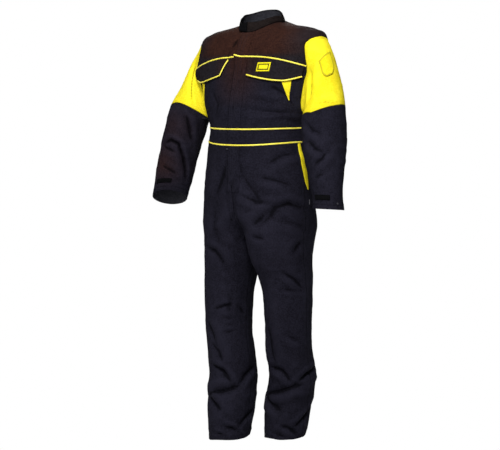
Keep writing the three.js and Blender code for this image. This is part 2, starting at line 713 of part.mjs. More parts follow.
for (const side of [1, -1]) {
  const name = sideName(side);
  const width = constant(PIPING_WIDTH);
  const margin = ARMHOLE_MARGIN / SHOULDER_HALF_WIDTH;
  const armholeEdge = degrees(armholeAngle(ROW.yoke, 'front'));
  const chest = ringCurve(side, ROW.yoke, armholeEdge, PANEL_COLUMNS, armholeEdge - margin);
  ribbon(`chest_piping_${name}`, PIPING, chest, width, overPlacket);
  const backMiddle = Math.PI - SEAM_GAP / HIP_HALF_WIDTH;
  const around = (row) => ringCurve(side, row, Math.PI, TROUSER_COLUMNS, backMiddle);
  ribbon(`waist_piping_upper_${name}`, PIPING, around(ROW.waist), width, overPlacket);
  ribbon(`waist_piping_lower_${name}`, PIPING, around(ROW.band), width, overPlacket);
}

// A flap hangs from the yoke's piping. X goes from its inner to its outer edge, and its foot is deepest at `point`.
const FLAPS = {
  left: { topInner: 42, footInner: 47, footOuter: 232, point: 0.72, innerDepth: 0.74, outerDepth: 0.82 },
  right: { topInner: 50, footInner: 79, footOuter: 232, point: 0.8, innerDepth: 0.74, outerDepth: 0.86 },
};
const FLAP_COLUMNS = 7;
const FLAP_ROWS = 4;

function yokeEdgeX(side) {
  return Math.abs(bodyPoint(side, degrees(armholeAngle(ROW.yoke, 'front')), ROW.yoke).point.x) - ARMHOLE_MARGIN;
}

function flapPoint(side, across, down) {
  const flap = FLAPS[sideName(side)];
  const x = lerp(lerp(flap.topInner, yokeEdgeX(side), across), lerp(flap.footInner, flap.footOuter, across), down);
  const toInner = across < flap.point;
  const away = toInner ? 1 - across / flap.point : (across - flap.point) / (1 - flap.point);
  const depth = FLAP_DEPTH * lerp(1, toInner ? flap.innerDepth : flap.outerDepth, away ** 1.6);
  const top = frontPoint(side * lerp(flap.topInner, yokeEdgeX(side), across), ROW.yoke).point.z - PIPING_WIDTH;
  const foot = frontPoint(side * flap.topInner, ROW.yoke).point.z - PIPING_WIDTH - depth;
  return frontAt(side * x, lerp(top, Math.min(foot, top - PIPING_WIDTH * 2), down));
}

const flapLift = (down) => OVER_CURVE + FLAP_STAND_OFF * down;
function flapSurface(side) {
  const at = (across, down) => {
    const { point, normal } = flapPoint(side, across, down);
    return { point: point.clone().addScaledVector(normal, flapLift(down)), normal };
  };
  return gridSurface(steps(0, 1, FLAP_ROWS), steps(0, 1, FLAP_COLUMNS), at);
}

const flapOutside = (down) => flapLift(down) + TRIM_CLOTH + LAID_ON;
function flapEdge(side) {
  const down = side < 0 ? steps(0.08, 1, 3).slice(0, -1).map((share) => [0, share]) : [];
  const foot = steps(0, 1, FLAP_COLUMNS).map((share) => [share, 1]);
  return [...down, ...foot].map(([across, share]) => {
    const { point, normal } = flapPoint(side, across, share);
    return { point: point.clone().addScaledVector(normal, flapOutside(share)), normal };
  });
}

for (const side of [1, -1]) {
  const name = sideName(side);
  addWall(`pocket_flap_${name}`, BROWN_BLACK, flapSurface(side), { lift: 0, thickness: TRIM_CLOTH });
  ribbon(`flap_piping_${name}`, PIPING, flapEdge(side), constant(PIPING_WIDTH), 0);
}

// A yellow wedge shows under each flap and tapers downwards.
for (const side of [1, -1]) {
  const share = (CHEST_WEDGE_X - FLAPS.left.footInner) / (FLAPS.left.footOuter - FLAPS.left.footInner);
  const top = flapPoint(side, share, 1).point.z - PIPING_WIDTH;
  const at = (t) => frontAt(side * (CHEST_WEDGE_X + CHEST_WEDGE_DRIFT * t), top - t * CHEST_WEDGE_LENGTH);
  const width = (t) => lerp(CHEST_WEDGE_WIDTH, WEDGE_TIP, t);
  ribbon(`chest_wedge_${sideName(side)}`, YELLOW, steps(0, 1, 3).map(at), width, LAID_ON);
}

// The yellow edge of each hip pocket runs down the side from the waistband.
for (const side of [1, -1]) {
  const rowAt = (z) => {
    let [low, high] = [ROW.band, ROW.crotch];
    for (let i = 0; i < 20; i += 1) {
      const middle = (low + high) / 2;
      if (smoothRow(BODY, middle).sideZ > z) low = middle;
      else high = middle;
    }
    return low;
  };
  const top = bandFoot - PIPING_WIDTH;
  const turnAt = (t) => degrees(lerp(HIP_WEDGE_TURN.top, HIP_WEDGE_TURN.foot, t));
  const curve = steps(0, 1, 6).map((t) => bodyPoint(side, turnAt(t), rowAt(top - t * HIP_WEDGE_LENGTH)));
  const width = (t) => lerp(HIP_WEDGE_WIDTH, WEDGE_TIP, t ** 2);
  ribbon(`hip_wedge_${sideName(side)}`, YELLOW, curve, width, LAID_ON);
}

// A plain patch on the left flap.
function chestPatch() {
  const top = frontPoint(PATCH_X, ROW.yoke).point.z - PATCH_BELOW_YOKE;
  const lift = flapOutside(PATCH_FOOT_ON_FLAP);
  const at = (u, v) => frontAt(PATCH_X + u * PATCH_WIDTH / 2, top - v * PATCH_HEIGHT);
  addWall('chest_patch', YELLOW, gridSurface([0, 0.5, 1], [-1, 0, 1], at), { lift, thickness: TRIM_CLOTH });
}
chestPatch();

// A plain badge on the left upper sleeve and a short tab above each cuff.
function sleevePatch(name, finish, side, { turn, row, width, height, rows = 4, columns = 4, lift = OVER_CURVE }) {
  const step = 0.1;
  const around = degrees(turn);
  const centre = sleevePoint(side, around, row).point;
  const perRow = sleevePoint(side, around, row + step).point.distanceTo(centre) / step;
  const perTurn = sleevePoint(side, around + step, row).point.distanceTo(centre) / step;
  const at = (u, v) => sleevePoint(side, around + u * width / 2 / perTurn, row + v * height / 2 / perRow);
  const surface = gridSurface(steps(-1, 1, rows), steps(-1, 1, columns), at);
  addWall(name, finish, surface, { lift, thickness: TRIM_CLOTH });
}
sleevePatch('sleeve_badge', YELLOW, 1, { ...BADGE_PLACE, width: BADGE_WIDTH, height: BADGE_HEIGHT });
for (const side of [1, -1]) {
  const place = CUFF_TAB_PLACE[sideName(side)];
  sleevePatch(`cuff_tab_${sideName(side)}`, NAVY, side, {
    ...place, width: CUFF_TAB_LENGTH, height: CUFF_TAB_WIDTH, rows: 1, lift: LAID_ON + SEAM_GAP,
  });
}

// The stand collar rises from the neck edge. Rows go from the middle of the front round to the back.
const COLLAR_SECTIONS = table('height', [0.95], [0.72], [0.82], [0.93], [0.88]);

function collarPoint(side, angle, up) {
  const base = plainBodyPoint(side, angle, ROW.neck);
  const outward = new THREE.Vector3(base.x, base.y, 0).normalize();
  const at = (Math.max(angle, 0) / Math.PI) * (COLLAR_SECTIONS.length - 1);
  const height = COLLAR_HEIGHT * smoothRow(COLLAR_SECTIONS, at).height;
  const point = base.clone().addScaledVector(outward, -COLLAR_LEAN * up);
  point.z += SEAM_GAP + up * height;
  return { point, normal: outward };
}

function collar() {
  const start = angleAtX(ROW.neck, SEAM_GAP / 2, 'frontSquare');
  const columns = steps(-1, 1, 28);
  const at = (share, up) => {
    const side = share < 0 ? 1 : -1;
    const found = collarPoint(side, lerp(Math.PI, start, Math.abs(share)), up);
    if (share === 0) found.point.x = 0;
    return found;
  };
  addWall('collar', BROWN_BLACK, gridSurface([0, 0.5, 1], columns, at), { lift: -COLLAR_CLOTH, thickness: COLLAR_CLOTH });
}
collar();

// The collar's left end laps over the right one as a short upright tab.
function collarTab() {
  const at = (x, up) => collarPoint(x < 0 ? -1 : 1, angleAtX(ROW.neck, Math.abs(x), 'frontSquare'), up);
  const columns = steps(-PLACKET_EDGE, COLLAR_TAB_WIDTH - PLACKET_EDGE, 2);
  const surface = gridSurface(steps(COLLAR_TAB_RISE.foot, COLLAR_TAB_RISE.top, 2), columns, at);
  addWall('collar_tab', NAVY, surface, { lift: LAID_ON, thickness: CLOTH });
}
collarTab();

export default group;
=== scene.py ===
"""Welding coverall in its worn shape: cloth panels, piping, flaps, collar and stitching."""

import math

import bpy
import numpy as np
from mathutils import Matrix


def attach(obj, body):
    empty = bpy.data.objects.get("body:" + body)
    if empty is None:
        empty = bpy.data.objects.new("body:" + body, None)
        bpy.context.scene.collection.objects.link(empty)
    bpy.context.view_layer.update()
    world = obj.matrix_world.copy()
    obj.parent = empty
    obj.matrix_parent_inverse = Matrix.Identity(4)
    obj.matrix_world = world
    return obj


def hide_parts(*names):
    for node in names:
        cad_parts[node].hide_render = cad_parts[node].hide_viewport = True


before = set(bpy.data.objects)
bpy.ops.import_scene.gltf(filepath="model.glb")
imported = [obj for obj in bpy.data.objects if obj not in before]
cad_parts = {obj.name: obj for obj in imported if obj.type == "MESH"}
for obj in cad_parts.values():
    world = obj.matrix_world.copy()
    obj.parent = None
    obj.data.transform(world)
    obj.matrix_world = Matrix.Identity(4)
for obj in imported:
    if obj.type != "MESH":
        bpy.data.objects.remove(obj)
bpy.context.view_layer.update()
bpy.ops.object.select_all(action="DESELECT")

# Sizes of the frame, in millimetres
BODICE_LENGTH = 380
WAISTBAND_HEIGHT = 48
SEAT_LENGTH = 362
INSEAM = 750
NECK_RADIUS = 84
SHOULDER_HALF_WIDTH = 270
HIP_HALF_WIDTH = 228
FRONT_REACH = 172
BACK_REACH = 128
LEG_RADIUS = 90
LEG_SPREAD = 109
STRIDE = 68
CUFF_DROP = 652
CUFF_SPREAD = 386
CUFF_FORWARD = 106
SLEEVE_RADIUS = 80
COLLAR_HEIGHT = 40
COLLAR_LEAN = 12
COLLAR_TAB_WIDTH = 34
PLACKET_WIDTH = 60
PLACKET_EDGE = 23
PLACKET_FOOT = 180
PIPING_WIDTH = 5
FLAP_DEPTH = 82
CHEST_WEDGE_X = 195
CHEST_WEDGE_WIDTH = 34
CHEST_WEDGE_LENGTH = 66
HIP_WEDGE_WIDTH = 20
HIP_WEDGE_LENGTH = 165
SEAM_GAP = 0.4
CLOTH = 2.0
TRIM_CLOTH = 1.5
COLLAR_CLOTH = 3
BADGE_CLOTH = 1.3
CORD_CLOTH = 0.9
HEM_TURN = 24

# Trims as they are dressed: width and height, or size and how far they stand off what carries them
PIPING_SECTION = 5.6, 2.6
FLAP_PIPING_SECTION = 5.2, 2.4
TACK_SECTION = 4.2, 1.3
TACK_LIFT = 3.6
STUD_RADIUS = 3.6
STUD_HEIGHT = 1.6
PLACKET_LIFT = 3.4
PLACKET_SLOPE = 1.7
PLACKET_CLIMB = 2.4
PLACKET_SEAMS = 0.42, 0.1
FLAP_LIFT = 3.4
PATCH_X = 114
PATCH_DROP = 19
PATCH_WIDTH = 52
PATCH_HEIGHT = 32
PATCH_LIFT = 2.2
BADGE_WIDTH = 64
BADGE_HEIGHT = 84
BADGE_LIFT = 3.0
BADGE_PLACE = 24, 1.4
CUFF_TAB_LENGTH = 62
CUFF_TAB_WIDTH = 16
CUFF_TAB_LIFT = 2.9
CUFF_STUD_PLACE = -25, 7.5
COLLAR_TAB_HEIGHT = 36
COLLAR_TAB_ASIDE = 10
COLLAR_TAB_LIFT = 2.9

# Steps between the rows and columns of a grid: at its edges, in the middle, and on the plain back
EDGE_STEPS = 0, 1.4, 3, 6
GRID_STEP = 5.5
BACK_STEP = 6.5
# Rough lengths across or round each piece, which set how many columns its grid has
YOKE_SPAN = 270
CHEST_SPAN = 250
BACK_SPAN = 500
HALF_ROUND = 430
SLEEVE_ROUND = 480
COLLAR_ROUND = 520
FLAP_SPAN = 195

NECK, SHOULDER, YOKE, UNDERARM, WAIST, BAND, CROTCH, HEM = 0, 4, 5, 9, 10, 11, 16, 26
BAND_TOP = -BODICE_LENGTH
BAND_FOOT = BAND_TOP - WAISTBAND_HEIGHT
CROTCH_LEVEL = BAND_FOOT - SEAT_LENGTH
HEM_LEVEL = CROTCH_LEVEL - INSEAM
LEFT, RIGHT = 1, -1
SIDES = {"left": LEFT, "right": RIGHT}

# Bodice: front, side and back drop, half width, front and back reach, squareness
BODICE = (
    (0.1, 0, -0.053, NECK_RADIUS / SHOULDER_HALF_WIDTH, 0.512, 0.625, 2),
    (0.15, 0.028, -0.015, 0.48, 0.6, 0.78, 2.1),
    (0.195, 0.048, 0.03, 0.66, 0.65, 0.875, 2.2),
    (0.24, 0.072, 0.085, 0.83, 0.692, 0.937, 2.3),
    (0.282, 0.15, 0.165, 0.985, 0.72, 0.984, 2.4),
    (0.33, 0.447, 0.395, 0.985, 0.756, 1.031, 2.6),
    (0.435, 0.566, 0.526, 0.948, 0.802, 1.047, 2.6),
    (0.55, 0.685, 0.655, 0.915, 0.855, 1.055, 2.5),
    (0.69, 0.79, 0.78, 0.875, 0.913, 1.039, 2.4),
    (0.842, 0.868, 0.868, 0.815, 0.965, 1.016, 2.3),
    (1.008, 0.995, 0.995, 0.738, 1, 0.985, 2.2),
)
# Seat: drop, centre, half width, middle, front and back reach, squareness of front and back
SEAT = (
    (0, 0, 0.873, -0.073, 0.503, 0.5, 2.2, 2.2),
    (0.2, 0.01, 0.905, -0.083, 0.503, 0.517, 2.2, 2.2),
    (0.45, 0.05, 0.905, -0.093, 0.497, 0.537, 2.2, 2.3),
    (0.68, 0.2, 0.765, -0.097, 0.483, 0.54, 2.1, 2.4),
    (0.85, 0.405, 0.555, -0.1, 0.467, 0.52, 2, 2.5),
    (1, 0.455, 0.49, -0.1, 0.45, 0.49, 2, 2.3),
)
# Legs: drop, centre, half width, middle, front and back reach, squareness, stride
LEGS = (
    (0.08, 0.985, 1.17, -0.165, 1.45, 1.5, 2, 0.1),
    (0.17, 1.04, 1.1, -0.15, 1.27, 1.3, 2, 0.25),
    (0.27, 1.08, 1.0, -0.145, 1.13, 1.14, 2, 0.4),
    (0.37, 1.06, 0.96, -0.14, 1.08, 1.08, 2, 0.5),
    (0.48, 1.02, 0.94, -0.12, 1.04, 1.05, 2, 0.62),
    (0.58, 0.94, 0.95, -0.07, 1.03, 1.06, 2.1, 0.72),
    (0.7, 0.91, 0.985, 0.02, 1.04, 1.08, 2.1, 0.84),
    (0.8, 0.82, 1.01, -0.05, 1.06, 1.07, 2.1, 0.9),
    (0.9, 0.78, 0.96, -0.105, 1.02, 1.02, 2, 0.96),
    (1, 0.745, 0.87, -0.165, 0.92, 0.92, 2, 1),
)
# Fullness of the legs, and share of the pitch that each cuff's mouth takes
LEG_FULLNESS = {LEFT: 0.985, RIGHT: 1}
CUFF_LIFT = {LEFT: 0.1, RIGHT: 1}
# Armhole: row of the body, and angle of its edge from the middle of the front and of the back
ARMHOLE = (
    (4, 90, 90),
    (4.06, 73, 76),
    (4.22, 63, 68),
    (4.55, 63, 66),
    (5, 67, 66),
    (5.5, 68.5, 65),
    (6.2, 68, 64),
    (7, 68, 63),
    (7.8, 69.5, 65),
    (8.45, 73, 70),
    (8.85, 79, 78),
    (9, 90, 90),
)
# Sleeve: spread, drop, forward, reach, depth, lean, turn, pitch
SLEEVE = (
    (0.7, 0.352, 0.1, 1.56, 0.9, 71, 0, 0),
    (0.762, 0.434, 0.27, 1.17, 0.94, 48, 0, 0),
    (0.815, 0.497, 0.5, 1.02, 0.95, 20, 0, 3),
    (0.856, 0.603, 0.63, 0.98, 0.98, 8, 5, 5),
    (0.892, 0.712, 0.77, 0.95, 0.92, 5, 20, 8),
    (0.925, 0.82, 0.87, 0.94, 0.76, 5, 40, 12),
    (0.96, 0.932, 0.95, 0.88, 0.65, 5, 45, 26),
    (0.985, 1, 1, 0.84, 0.65, 5, 45, 37),
)
# Collar, from the middle of the front round to the back: height and inward lean
COLLAR = {
    LEFT: ((0.95, 0.3), (0.66, 0.4), (0.6, 0.75), (0.74, 1), (0.88, 0.85)),
    RIGHT: ((0.95, 0.3), (0.62, 0.4), (0.92, 0.75), (1.02, 1), (0.88, 0.85)),
}
SLEEVE_SEAM = 3
# Rise of the sleeves' seam at the front, in rows, and the turn where it starts
SEAM_RISE = {LEFT: (0.75, 88, 150), RIGHT: (1.6, 35, 150)}
# Turn and row of the middle of the cuff tabs
CUFF_TAB_PLACE = {LEFT: (35, 7.1), RIGHT: (60, 6.98)}
# Dip of the trouser hems: angle of its middle and depth
HEM_DIP = {LEFT: (-58, 15), RIGHT: (36, 15)}
SLEEVE_END = len(SLEEVE)
# Flaps: inner edge at top and foot, outer edge, share of the width at the lowest point, depth of both ends
FLAPS = {
    LEFT: {"top": 42, "foot": 47, "outer": 236, "point": 0.72, "inner_depth": 0.74, "outer_depth": 0.82},
    RIGHT: {"top": 50, "foot": 79, "outer": 236, "point": 0.8, "inner_depth": 0.74, "outer_depth": 0.86},
}


def smooth(rows, at):
    """Smooth curve through the rows of a table, at fractional row numbers."""
    last = len(rows) - 1
    i = np.clip(np.floor(at).astype(int), 0, last - 1)
    t = (at - i)[..., None]
    a, b, c, d = (rows[np.clip(i + k, 0, last)] for k in (-1, 0, 1, 2))
    return b + 0.5 * t * (c - a + t * (2 * a - 5 * b + 4 * c - d + t * (3 * (b - c) + d - a)))


def signed_power(value, power):
    return np.sign(value) * np.abs(value) ** power


def body_sections():
    """Rows of front, side and back height, centre, half width, middle, reaches, squareness, stride."""
    reach = FRONT_REACH + BACK_REACH
    rows = []
    for front, side, back, half, fore, aft, square in BODICE:
        heights = [-front * BODICE_LENGTH, -side * BODICE_LENGTH, -back * BODICE_LENGTH]
        spans = [0, half * SHOULDER_HALF_WIDTH, 0, fore * FRONT_REACH, aft * BACK_REACH]
        rows.append([*heights, *spans, square, square, 0])
    for drop, centre, half, middle, fore, aft, square, back_square in SEAT:
        z = BAND_FOOT - drop * SEAT_LENGTH
        front = BAND_TOP - 1.25 * WAISTBAND_HEIGHT if drop == 0 else z
        spans = [centre * HIP_HALF_WIDTH, half * HIP_HALF_WIDTH, middle * reach, fore * reach, aft * reach]
        rows.append([front, z, z, *spans, square, back_square, 0])
    for drop, centre, half, middle, fore, aft, square, stride in LEGS:
        z = CROTCH_LEVEL - drop * INSEAM
        spans = [centre * LEG_SPREAD, half * LEG_RADIUS, middle * FRONT_REACH]
        spans += [fore * LEG_RADIUS, aft * LEG_RADIUS]
        rows.append([z, z, z, *spans, square, square, stride * STRIDE])
    return np.array(rows, float)


BODY = body_sections()
ARMHOLE_MARKS = np.array(ARMHOLE, float)


def plain_body(side, angle, row):
    """Points of the body before its folds. The angle goes from the middle of the front round the side."""
    angle, row = np.broadcast_arrays(np.asarray(angle, float), np.asarray(row, float))
    section = np.moveaxis(smooth(BODY, row), -1, 0)
    front_z, side_z, back_z, centre_x, half_x, middle = section[:6]
    fore, aft, fore_square, aft_square, stride = section[6:]
    sin, cos = np.sin(angle), np.cos(angle)
    ahead = cos > 0
    square = 2 / np.where(ahead, fore_square, aft_square)
    full = 1 + (LEG_FULLNESS[side] - 1) * np.clip(row - CROTCH, 0, 1)
    x = np.maximum(centre_x + full * half_x * signed_power(sin, square), SEAM_GAP / 2)
    y = middle - full * np.where(ahead, fore, aft) * signed_power(cos, square) + side * stride
    z = side_z + (np.where(ahead, front_z, back_z) - side_z) * cos**2
    dip_angle, dip = HEM_DIP[side]
    away = np.mod(angle - math.radians(dip_angle) + math.pi, 2 * math.pi) - math.pi
    z = z - dip * np.exp(-((away / 0.6) ** 2)) * np.clip(row - HEM + 1.5, 0, 1.5) ** 2 / 2.25
    return np.stack([side * x, y, z], axis=-1)


def unit(vectors):
    return vectors / np.maximum(np.linalg.norm(vectors, axis=-1, keepdims=True), 1e-9)


def body_normal(side, angle, row):
    """Outward directions of the body before its folds."""
    turn, step = 0.01, 0.02
    around = plain_body(side, angle + turn, row) - plain_body(side, angle - turn, row)
    low = np.minimum(row + step, HEM)
    high = np.maximum(row - step, NECK)
    down = plain_body(side, angle, low) - plain_body(side, angle, high)
    return -side * unit(np.cross(around, down))


def soft_noise(points, size, seed):
    """Smooth noise from -1 to 1 whose bumps are about one size across."""
    lattice = np.random.default_rng(seed).uniform(-1, 1, (24, 24, 24))
    place = points / size
    cell = np.floor(place).astype(int)
    t = place - cell
    t = t * t * t * (t * (t * 6 - 15) + 10)
    total = np.zeros(points.shape[:-1])
    for corner in range(8):
        step = np.array([corner & 1, corner >> 1 & 1, corner >> 2 & 1])
        i, j, k = np.moveaxis((cell + step) % 24, -1, 0)
        total += np.prod(np.where(step, t, 1 - t), axis=-1) * lattice[i, j, k]
    return total


def creases(points, size, seed):
    """Thin raised lines between flat areas, from 0 to 1."""
    warp = np.stack([soft_noise(points, size * 1.7, seed + 11 + k) for k in range(3)], axis=-1)
    return (1 - np.abs(soft_noise(points + warp * size * 0.5, size, seed))) ** 2


def line_bump(u, v, line, width, depth):
    """Height of a fold along a line on a flat plan: a ridge with a hollow beside it, fading to its ends."""
    points = np.array(line, float)
    best = np.full(u.shape, 1e9)
    aside = np.zeros(u.shape)
    along = np.zeros(u.shape)
    lengths = np.linalg.norm(np.diff(points, axis=0), axis=1)
    total = lengths.sum()
    walked = 0
    for (ax, ay), (bx, by), length in zip(points[:-1], points[1:], lengths):
        dx, dy = (bx - ax) / length, (by - ay) / length
        t = np.clip((u - ax) * dx + (v - ay) * dy, 0, length)
        off_u, off_v = u - ax - t * dx, v - ay - t * dy
        far = np.hypot(off_u, off_v)
        nearer = far < best
        best = np.where(nearer, far, best)
        aside = np.where(nearer, np.sign(off_u * dy - off_v * dx) * far, aside)
        along = np.where(nearer, (walked + t) / total, along)
        walked += length
    fade = np.sin(np.pi * np.clip(along, 0.02, 0.98)) ** 0.6
    s = aside / width
    return depth * fade * (1.25 * np.exp(-np.abs(s) * 1.7) - 0.6 * np.exp(-((s - 1.3) ** 2) / 0.7))


# Folds of the body: side, places along the fold (angle, height), width, depth (negative goes in)
FOLDS = (
    (RIGHT, ((38, -1388), (12, -1370), (-20, -1356), (-43, -1347), (-70, -1340)), 21, -17),
    (RIGHT, ((14, -1272), (-16, -1286), (-40, -1332)), 17, -13),
    (RIGHT, ((-104, -1282), (-74, -1306), (-58, -1338)), 15, -12),
    (RIGHT, ((40, -1396), (16, -1406), (-18, -1430)), 24, -15),
    (RIGHT, ((-118, -1444), (-84, -1466), (-58, -1490)), 18, -12),
    (RIGHT, ((-26, -1490), (-45, -1495), (-68, -1514)), 12, -9),
    (RIGHT, ((4, -1517), (-33, -1522)), 9, -6),
    (RIGHT, ((-8, -1050), (-34, -1038), (-54, -1034)), 9, -8),
    (RIGHT, ((-28, -1080), (-64, -1092)), 13, -5),
    (RIGHT, ((-34, -1112), (-70, -1102)), 12, -4),
    (RIGHT, ((-28, -1138), (-62, -1134)), 12, -4),
    (RIGHT, ((-62, -1030), (-84, -1076)), 13, -4),
    (RIGHT, ((22, -1100), (2, -1150), (-10, -1200)), 26, -9),
    (RIGHT, ((14, -1180), (-10, -1215), (-20, -1262)), 24, -8),
    (RIGHT, ((24, -818), (-7, -832), (-18, -852), (-32, -894)), 17, -9),
    (RIGHT, ((-50, -990), (-44, -1040), (-46, -1078)), 16, -6),
    (LEFT, ((-50, -1386), (-20, -1368), (16, -1351), (43, -1336), (72, -1332)), 21, -17),
    (LEFT, ((-20, -1268), (14, -1278), (35, -1316)), 17, -13),
    (LEFT, ((126, -1276), (82, -1290), (52, -1318)), 15, -12),
    (LEFT, ((-46, -1392), (-14, -1402), (22, -1428)), 24, -15),
    (LEFT, ((124, -1424), (90, -1460), (62, -1494)), 18, -12),
    (LEFT, ((26, -1486), (46, -1495), (74, -1524)), 12, -9),
    (LEFT, ((2, -1517), (40, -1528)), 9, -6),
    (LEFT, ((42, -892), (62, -920), (82, -962)), 14, -7),
    (LEFT, ((30, -957), (82, -968)), 11, -4),
    (LEFT, ((-22, -1100), (-14, -1180), (0, -1256)), 28, -10),
    (LEFT, ((34, -1132), (72, -1156)), 16, -4),
    (LEFT, ((96, -668), (63, -645), (46, -655), (36, -690), (16, -726)), 18, -9),
    (LEFT, ((34, -668), (22, -695), (0, -732)), 13, -7),
    (LEFT, ((-8, -765), (20, -768)), 13, -6),
    (LEFT, ((86, -780), (68, -824)), 17, -7),
    (LEFT, ((48, -698), (72, -716), (92, -744)), 18, -4),
    (RIGHT, ((20, -640), (10, -700), (-6, -760), (-24, -830)), 22, -6),
    (0, ((2, -560), (-3, -595), (-12, -672), (-30, -730)), 9, -8),
    (RIGHT, ((6, -505), (10, -558), (15, -625)), 16, -8),
    (LEFT, ((4, -492), (11, -546), (20, -598), (30, -650)), 20, -6),
    (LEFT, ((36, -510), (56, -476), (88, -460)), 17, -6),
    (LEFT, ((26, -548), (49, -562), (70, -580)), 17, -6),
    (LEFT, ((6, -616), (22, -640), (40, -640)), 14, -6),
    (LEFT, ((30, -354), (53, -345), (82, -358)), 13, -5),
    (LEFT, ((10, -310), (39, -322), (68, -328)), 16, -5),
    (LEFT, ((28, -226), (48, -258), (66, -312)), 18, -8),
    (LEFT, ((14, -268), (38, -286), (56, -292)), 16, -4),
    (RIGHT, ((12, -54), (10, -76), (9, -92)), 8, -6),
    (RIGHT, ((9, -90), (8, -120), (7, -152)), 6, -4),
    (RIGHT, ((27, -236), (19, -294), (26, -352)), 18, -6),
    (LEFT, ((172, -690), (150, -655), (128, -640)), 15, -10),
    (RIGHT, ((172, -700), (150, -668), (124, -650)), 15, -10),
    (LEFT, ((178, -350), (150, -338), (118, -345)), 14, -8),
    (RIGHT, ((178, -335), (152, -326), (120, -338)), 14, -8),
    (0, ((172, -200), (168, -250), (158, -300)), 15, -6),
    (0, ((205, -1040), (180, -1030), (150, -1040)), 13, -10),
    (0, ((200, -1085), (178, -1092), (158, -1086)), 12, -8),
    (0, ((215, -1352), (190, -1342), (160, -1350), (132, -1338)), 13, -13),
    (0, ((200, -1410), (176, -1420), (150, -1412)), 12, -9),
)
# Folds of the sleeves: side, places along the fold (turn, row), width, depth (negative goes in)
SLEEVE_FOLDS = (
    (RIGHT, ((52, 4.86), (86, 4.64), (108, 4.8), (114, 5.24), (120, 6), (132, 6.8)), 14, -15),
    (RIGHT, ((56, 5.04), (78, 5.16), (96, 5.3)), 14, -6),
    (RIGHT, ((120, 3.0), (138, 3.72), (150, 4.6)), 16, -11),
    (RIGHT, ((46, 0.32), (72, 1), (88, 1.28), (106, 1.6)), 11, -6),
    (RIGHT, ((44, 6.04), (78, 6.36), (98, 6.56)), 16, -5),
    (LEFT, ((108, 3.4), (80, 3.88), (44, 4.16)), 17, -7),
    (LEFT, ((64, 5.52), (42, 5.3), (30, 4.9)), 19, -7),
    (LEFT, ((94, 4.3), (66, 4.75), (40, 4.95)), 17, -7),
    (LEFT, ((60, 6.2), (40, 6.05), (22, 5.95)), 15, -4),
    (LEFT, ((64, 0.5), (78, 1.2), (92, 2.1)), 17, -5),
    (LEFT, ((16, 2.95), (44, 2.75), (72, 2.6)), 16, -4),
    (0, ((-55, 4.3), (-85, 4.15), (-130, 4.35)), 12, -8),
    (0, ((-55, 5.1), (-90, 5.3), (-130, 5.2)), 12, -7),
    (0, ((-150, 1.2), (-120, 1.6), (-80, 1.7)), 13, -4),
)


def body_relief(side, angle, row, points):
    """Folds and fine wrinkles of the body, in millimetres outwards."""
    z = points[..., 2]
    wrapped = np.mod(angle + 2, 2 * math.pi) - 2
    u = wrapped * LEG_RADIUS
    height = np.zeros(z.shape)
    for fold_side, line, width, depth in FOLDS:
        if fold_side in (0, side):
            plan = [(math.radians(a) * LEG_RADIUS, h) for a, h in line]
            height += line_bump(u, z, plan, width, depth)
    leg = np.clip((row - CROTCH) / 3, 0, 1)
    shin = np.clip((row - 22) / 1.5, 0, 1)
    chest = np.clip((WAIST - row) / 1.5, 0, 1)
    stretched = points * np.array([1, 1, 0.35])
    squeezed = points * np.array([0.6, 0.6, 1.6])
    height += (2.2 - 0.8 * chest) * soft_noise(stretched, 60, 3)
    height += (1.3 + 1.4 * shin) * (creases(squeezed, 75, 5) - 0.55)
    height += 0.9 * (creases(stretched, 38, 9) - 0.5)
    height += 0.35 * soft_noise(points, 13, 21)
    height += 1.2 * leg * soft_noise(stretched, 110, 17)
    if side == RIGHT:
        beside_arm = np.clip((wrapped - 0.65) / 0.5, 0, 1) * (wrapped < 1.9)
        height += 16 * np.exp(-(((row - 5.3) / 0.85) ** 2)) * beside_arm
    height -= 6 * np.exp(-(((z + 925) / 50) ** 2)) * np.clip(np.cos(angle + 1.4), 0, 1) ** 1.5
    calm = 1 - 0.6 * np.exp(-(((row - WAIST - 0.5) / 0.7) ** 2))
    neckline = np.clip(row / 1.5, 0.1, 1)
    return height * calm * neckline


def body(side, angle, row):
    """Points and normals of the body's outer face with its folds."""
    angle, row = np.broadcast_arrays(np.asarray(angle, float), np.asarray(row, float))
    points = plain_body(side, angle, row)
    normals = body_normal(side, angle, row)
    points = points + normals * body_relief(side, angle, row, points)[..., None]
    points[..., 0] = side * np.maximum(side * points[..., 0], SEAM_GAP / 2)
    return points, normals


def angle_at(row, x, back=False):
    """Angle at which the body's section reaches a distance from the middle plane."""
    row, x = np.broadcast_arrays(np.asarray(row, float), np.asarray(x, float))
    s = smooth(BODY, row)
    share = np.clip((x - s[..., 3]) / s[..., 4], -1, 1)
    return np.arcsin(signed_power(share, s[..., 9 if back else 8] / 2))


FURTHEST_IN = math.radians(-58)


def front_start(row):
    return np.maximum(angle_at(row, SEAM_GAP / 2), FURTHEST_IN)


def back_end(row):
    return math.pi - np.maximum(angle_at(row, SEAM_GAP / 2, back=True), FURTHEST_IN)


def front(x, row):
    """Points and normals on the body's front at distances from the middle plane, positive on the left."""
    x, row = np.broadcast_arrays(np.asarray(x, float), np.asarray(row, float))
    angle = angle_at(row, np.maximum(np.abs(x), SEAM_GAP / 2))
    left, right = body(LEFT, angle, row), body(RIGHT, angle, row)
    on_left = (x >= 0)[..., None]
    return np.where(on_left, left[0], right[0]), np.where(on_left, left[1], right[1])


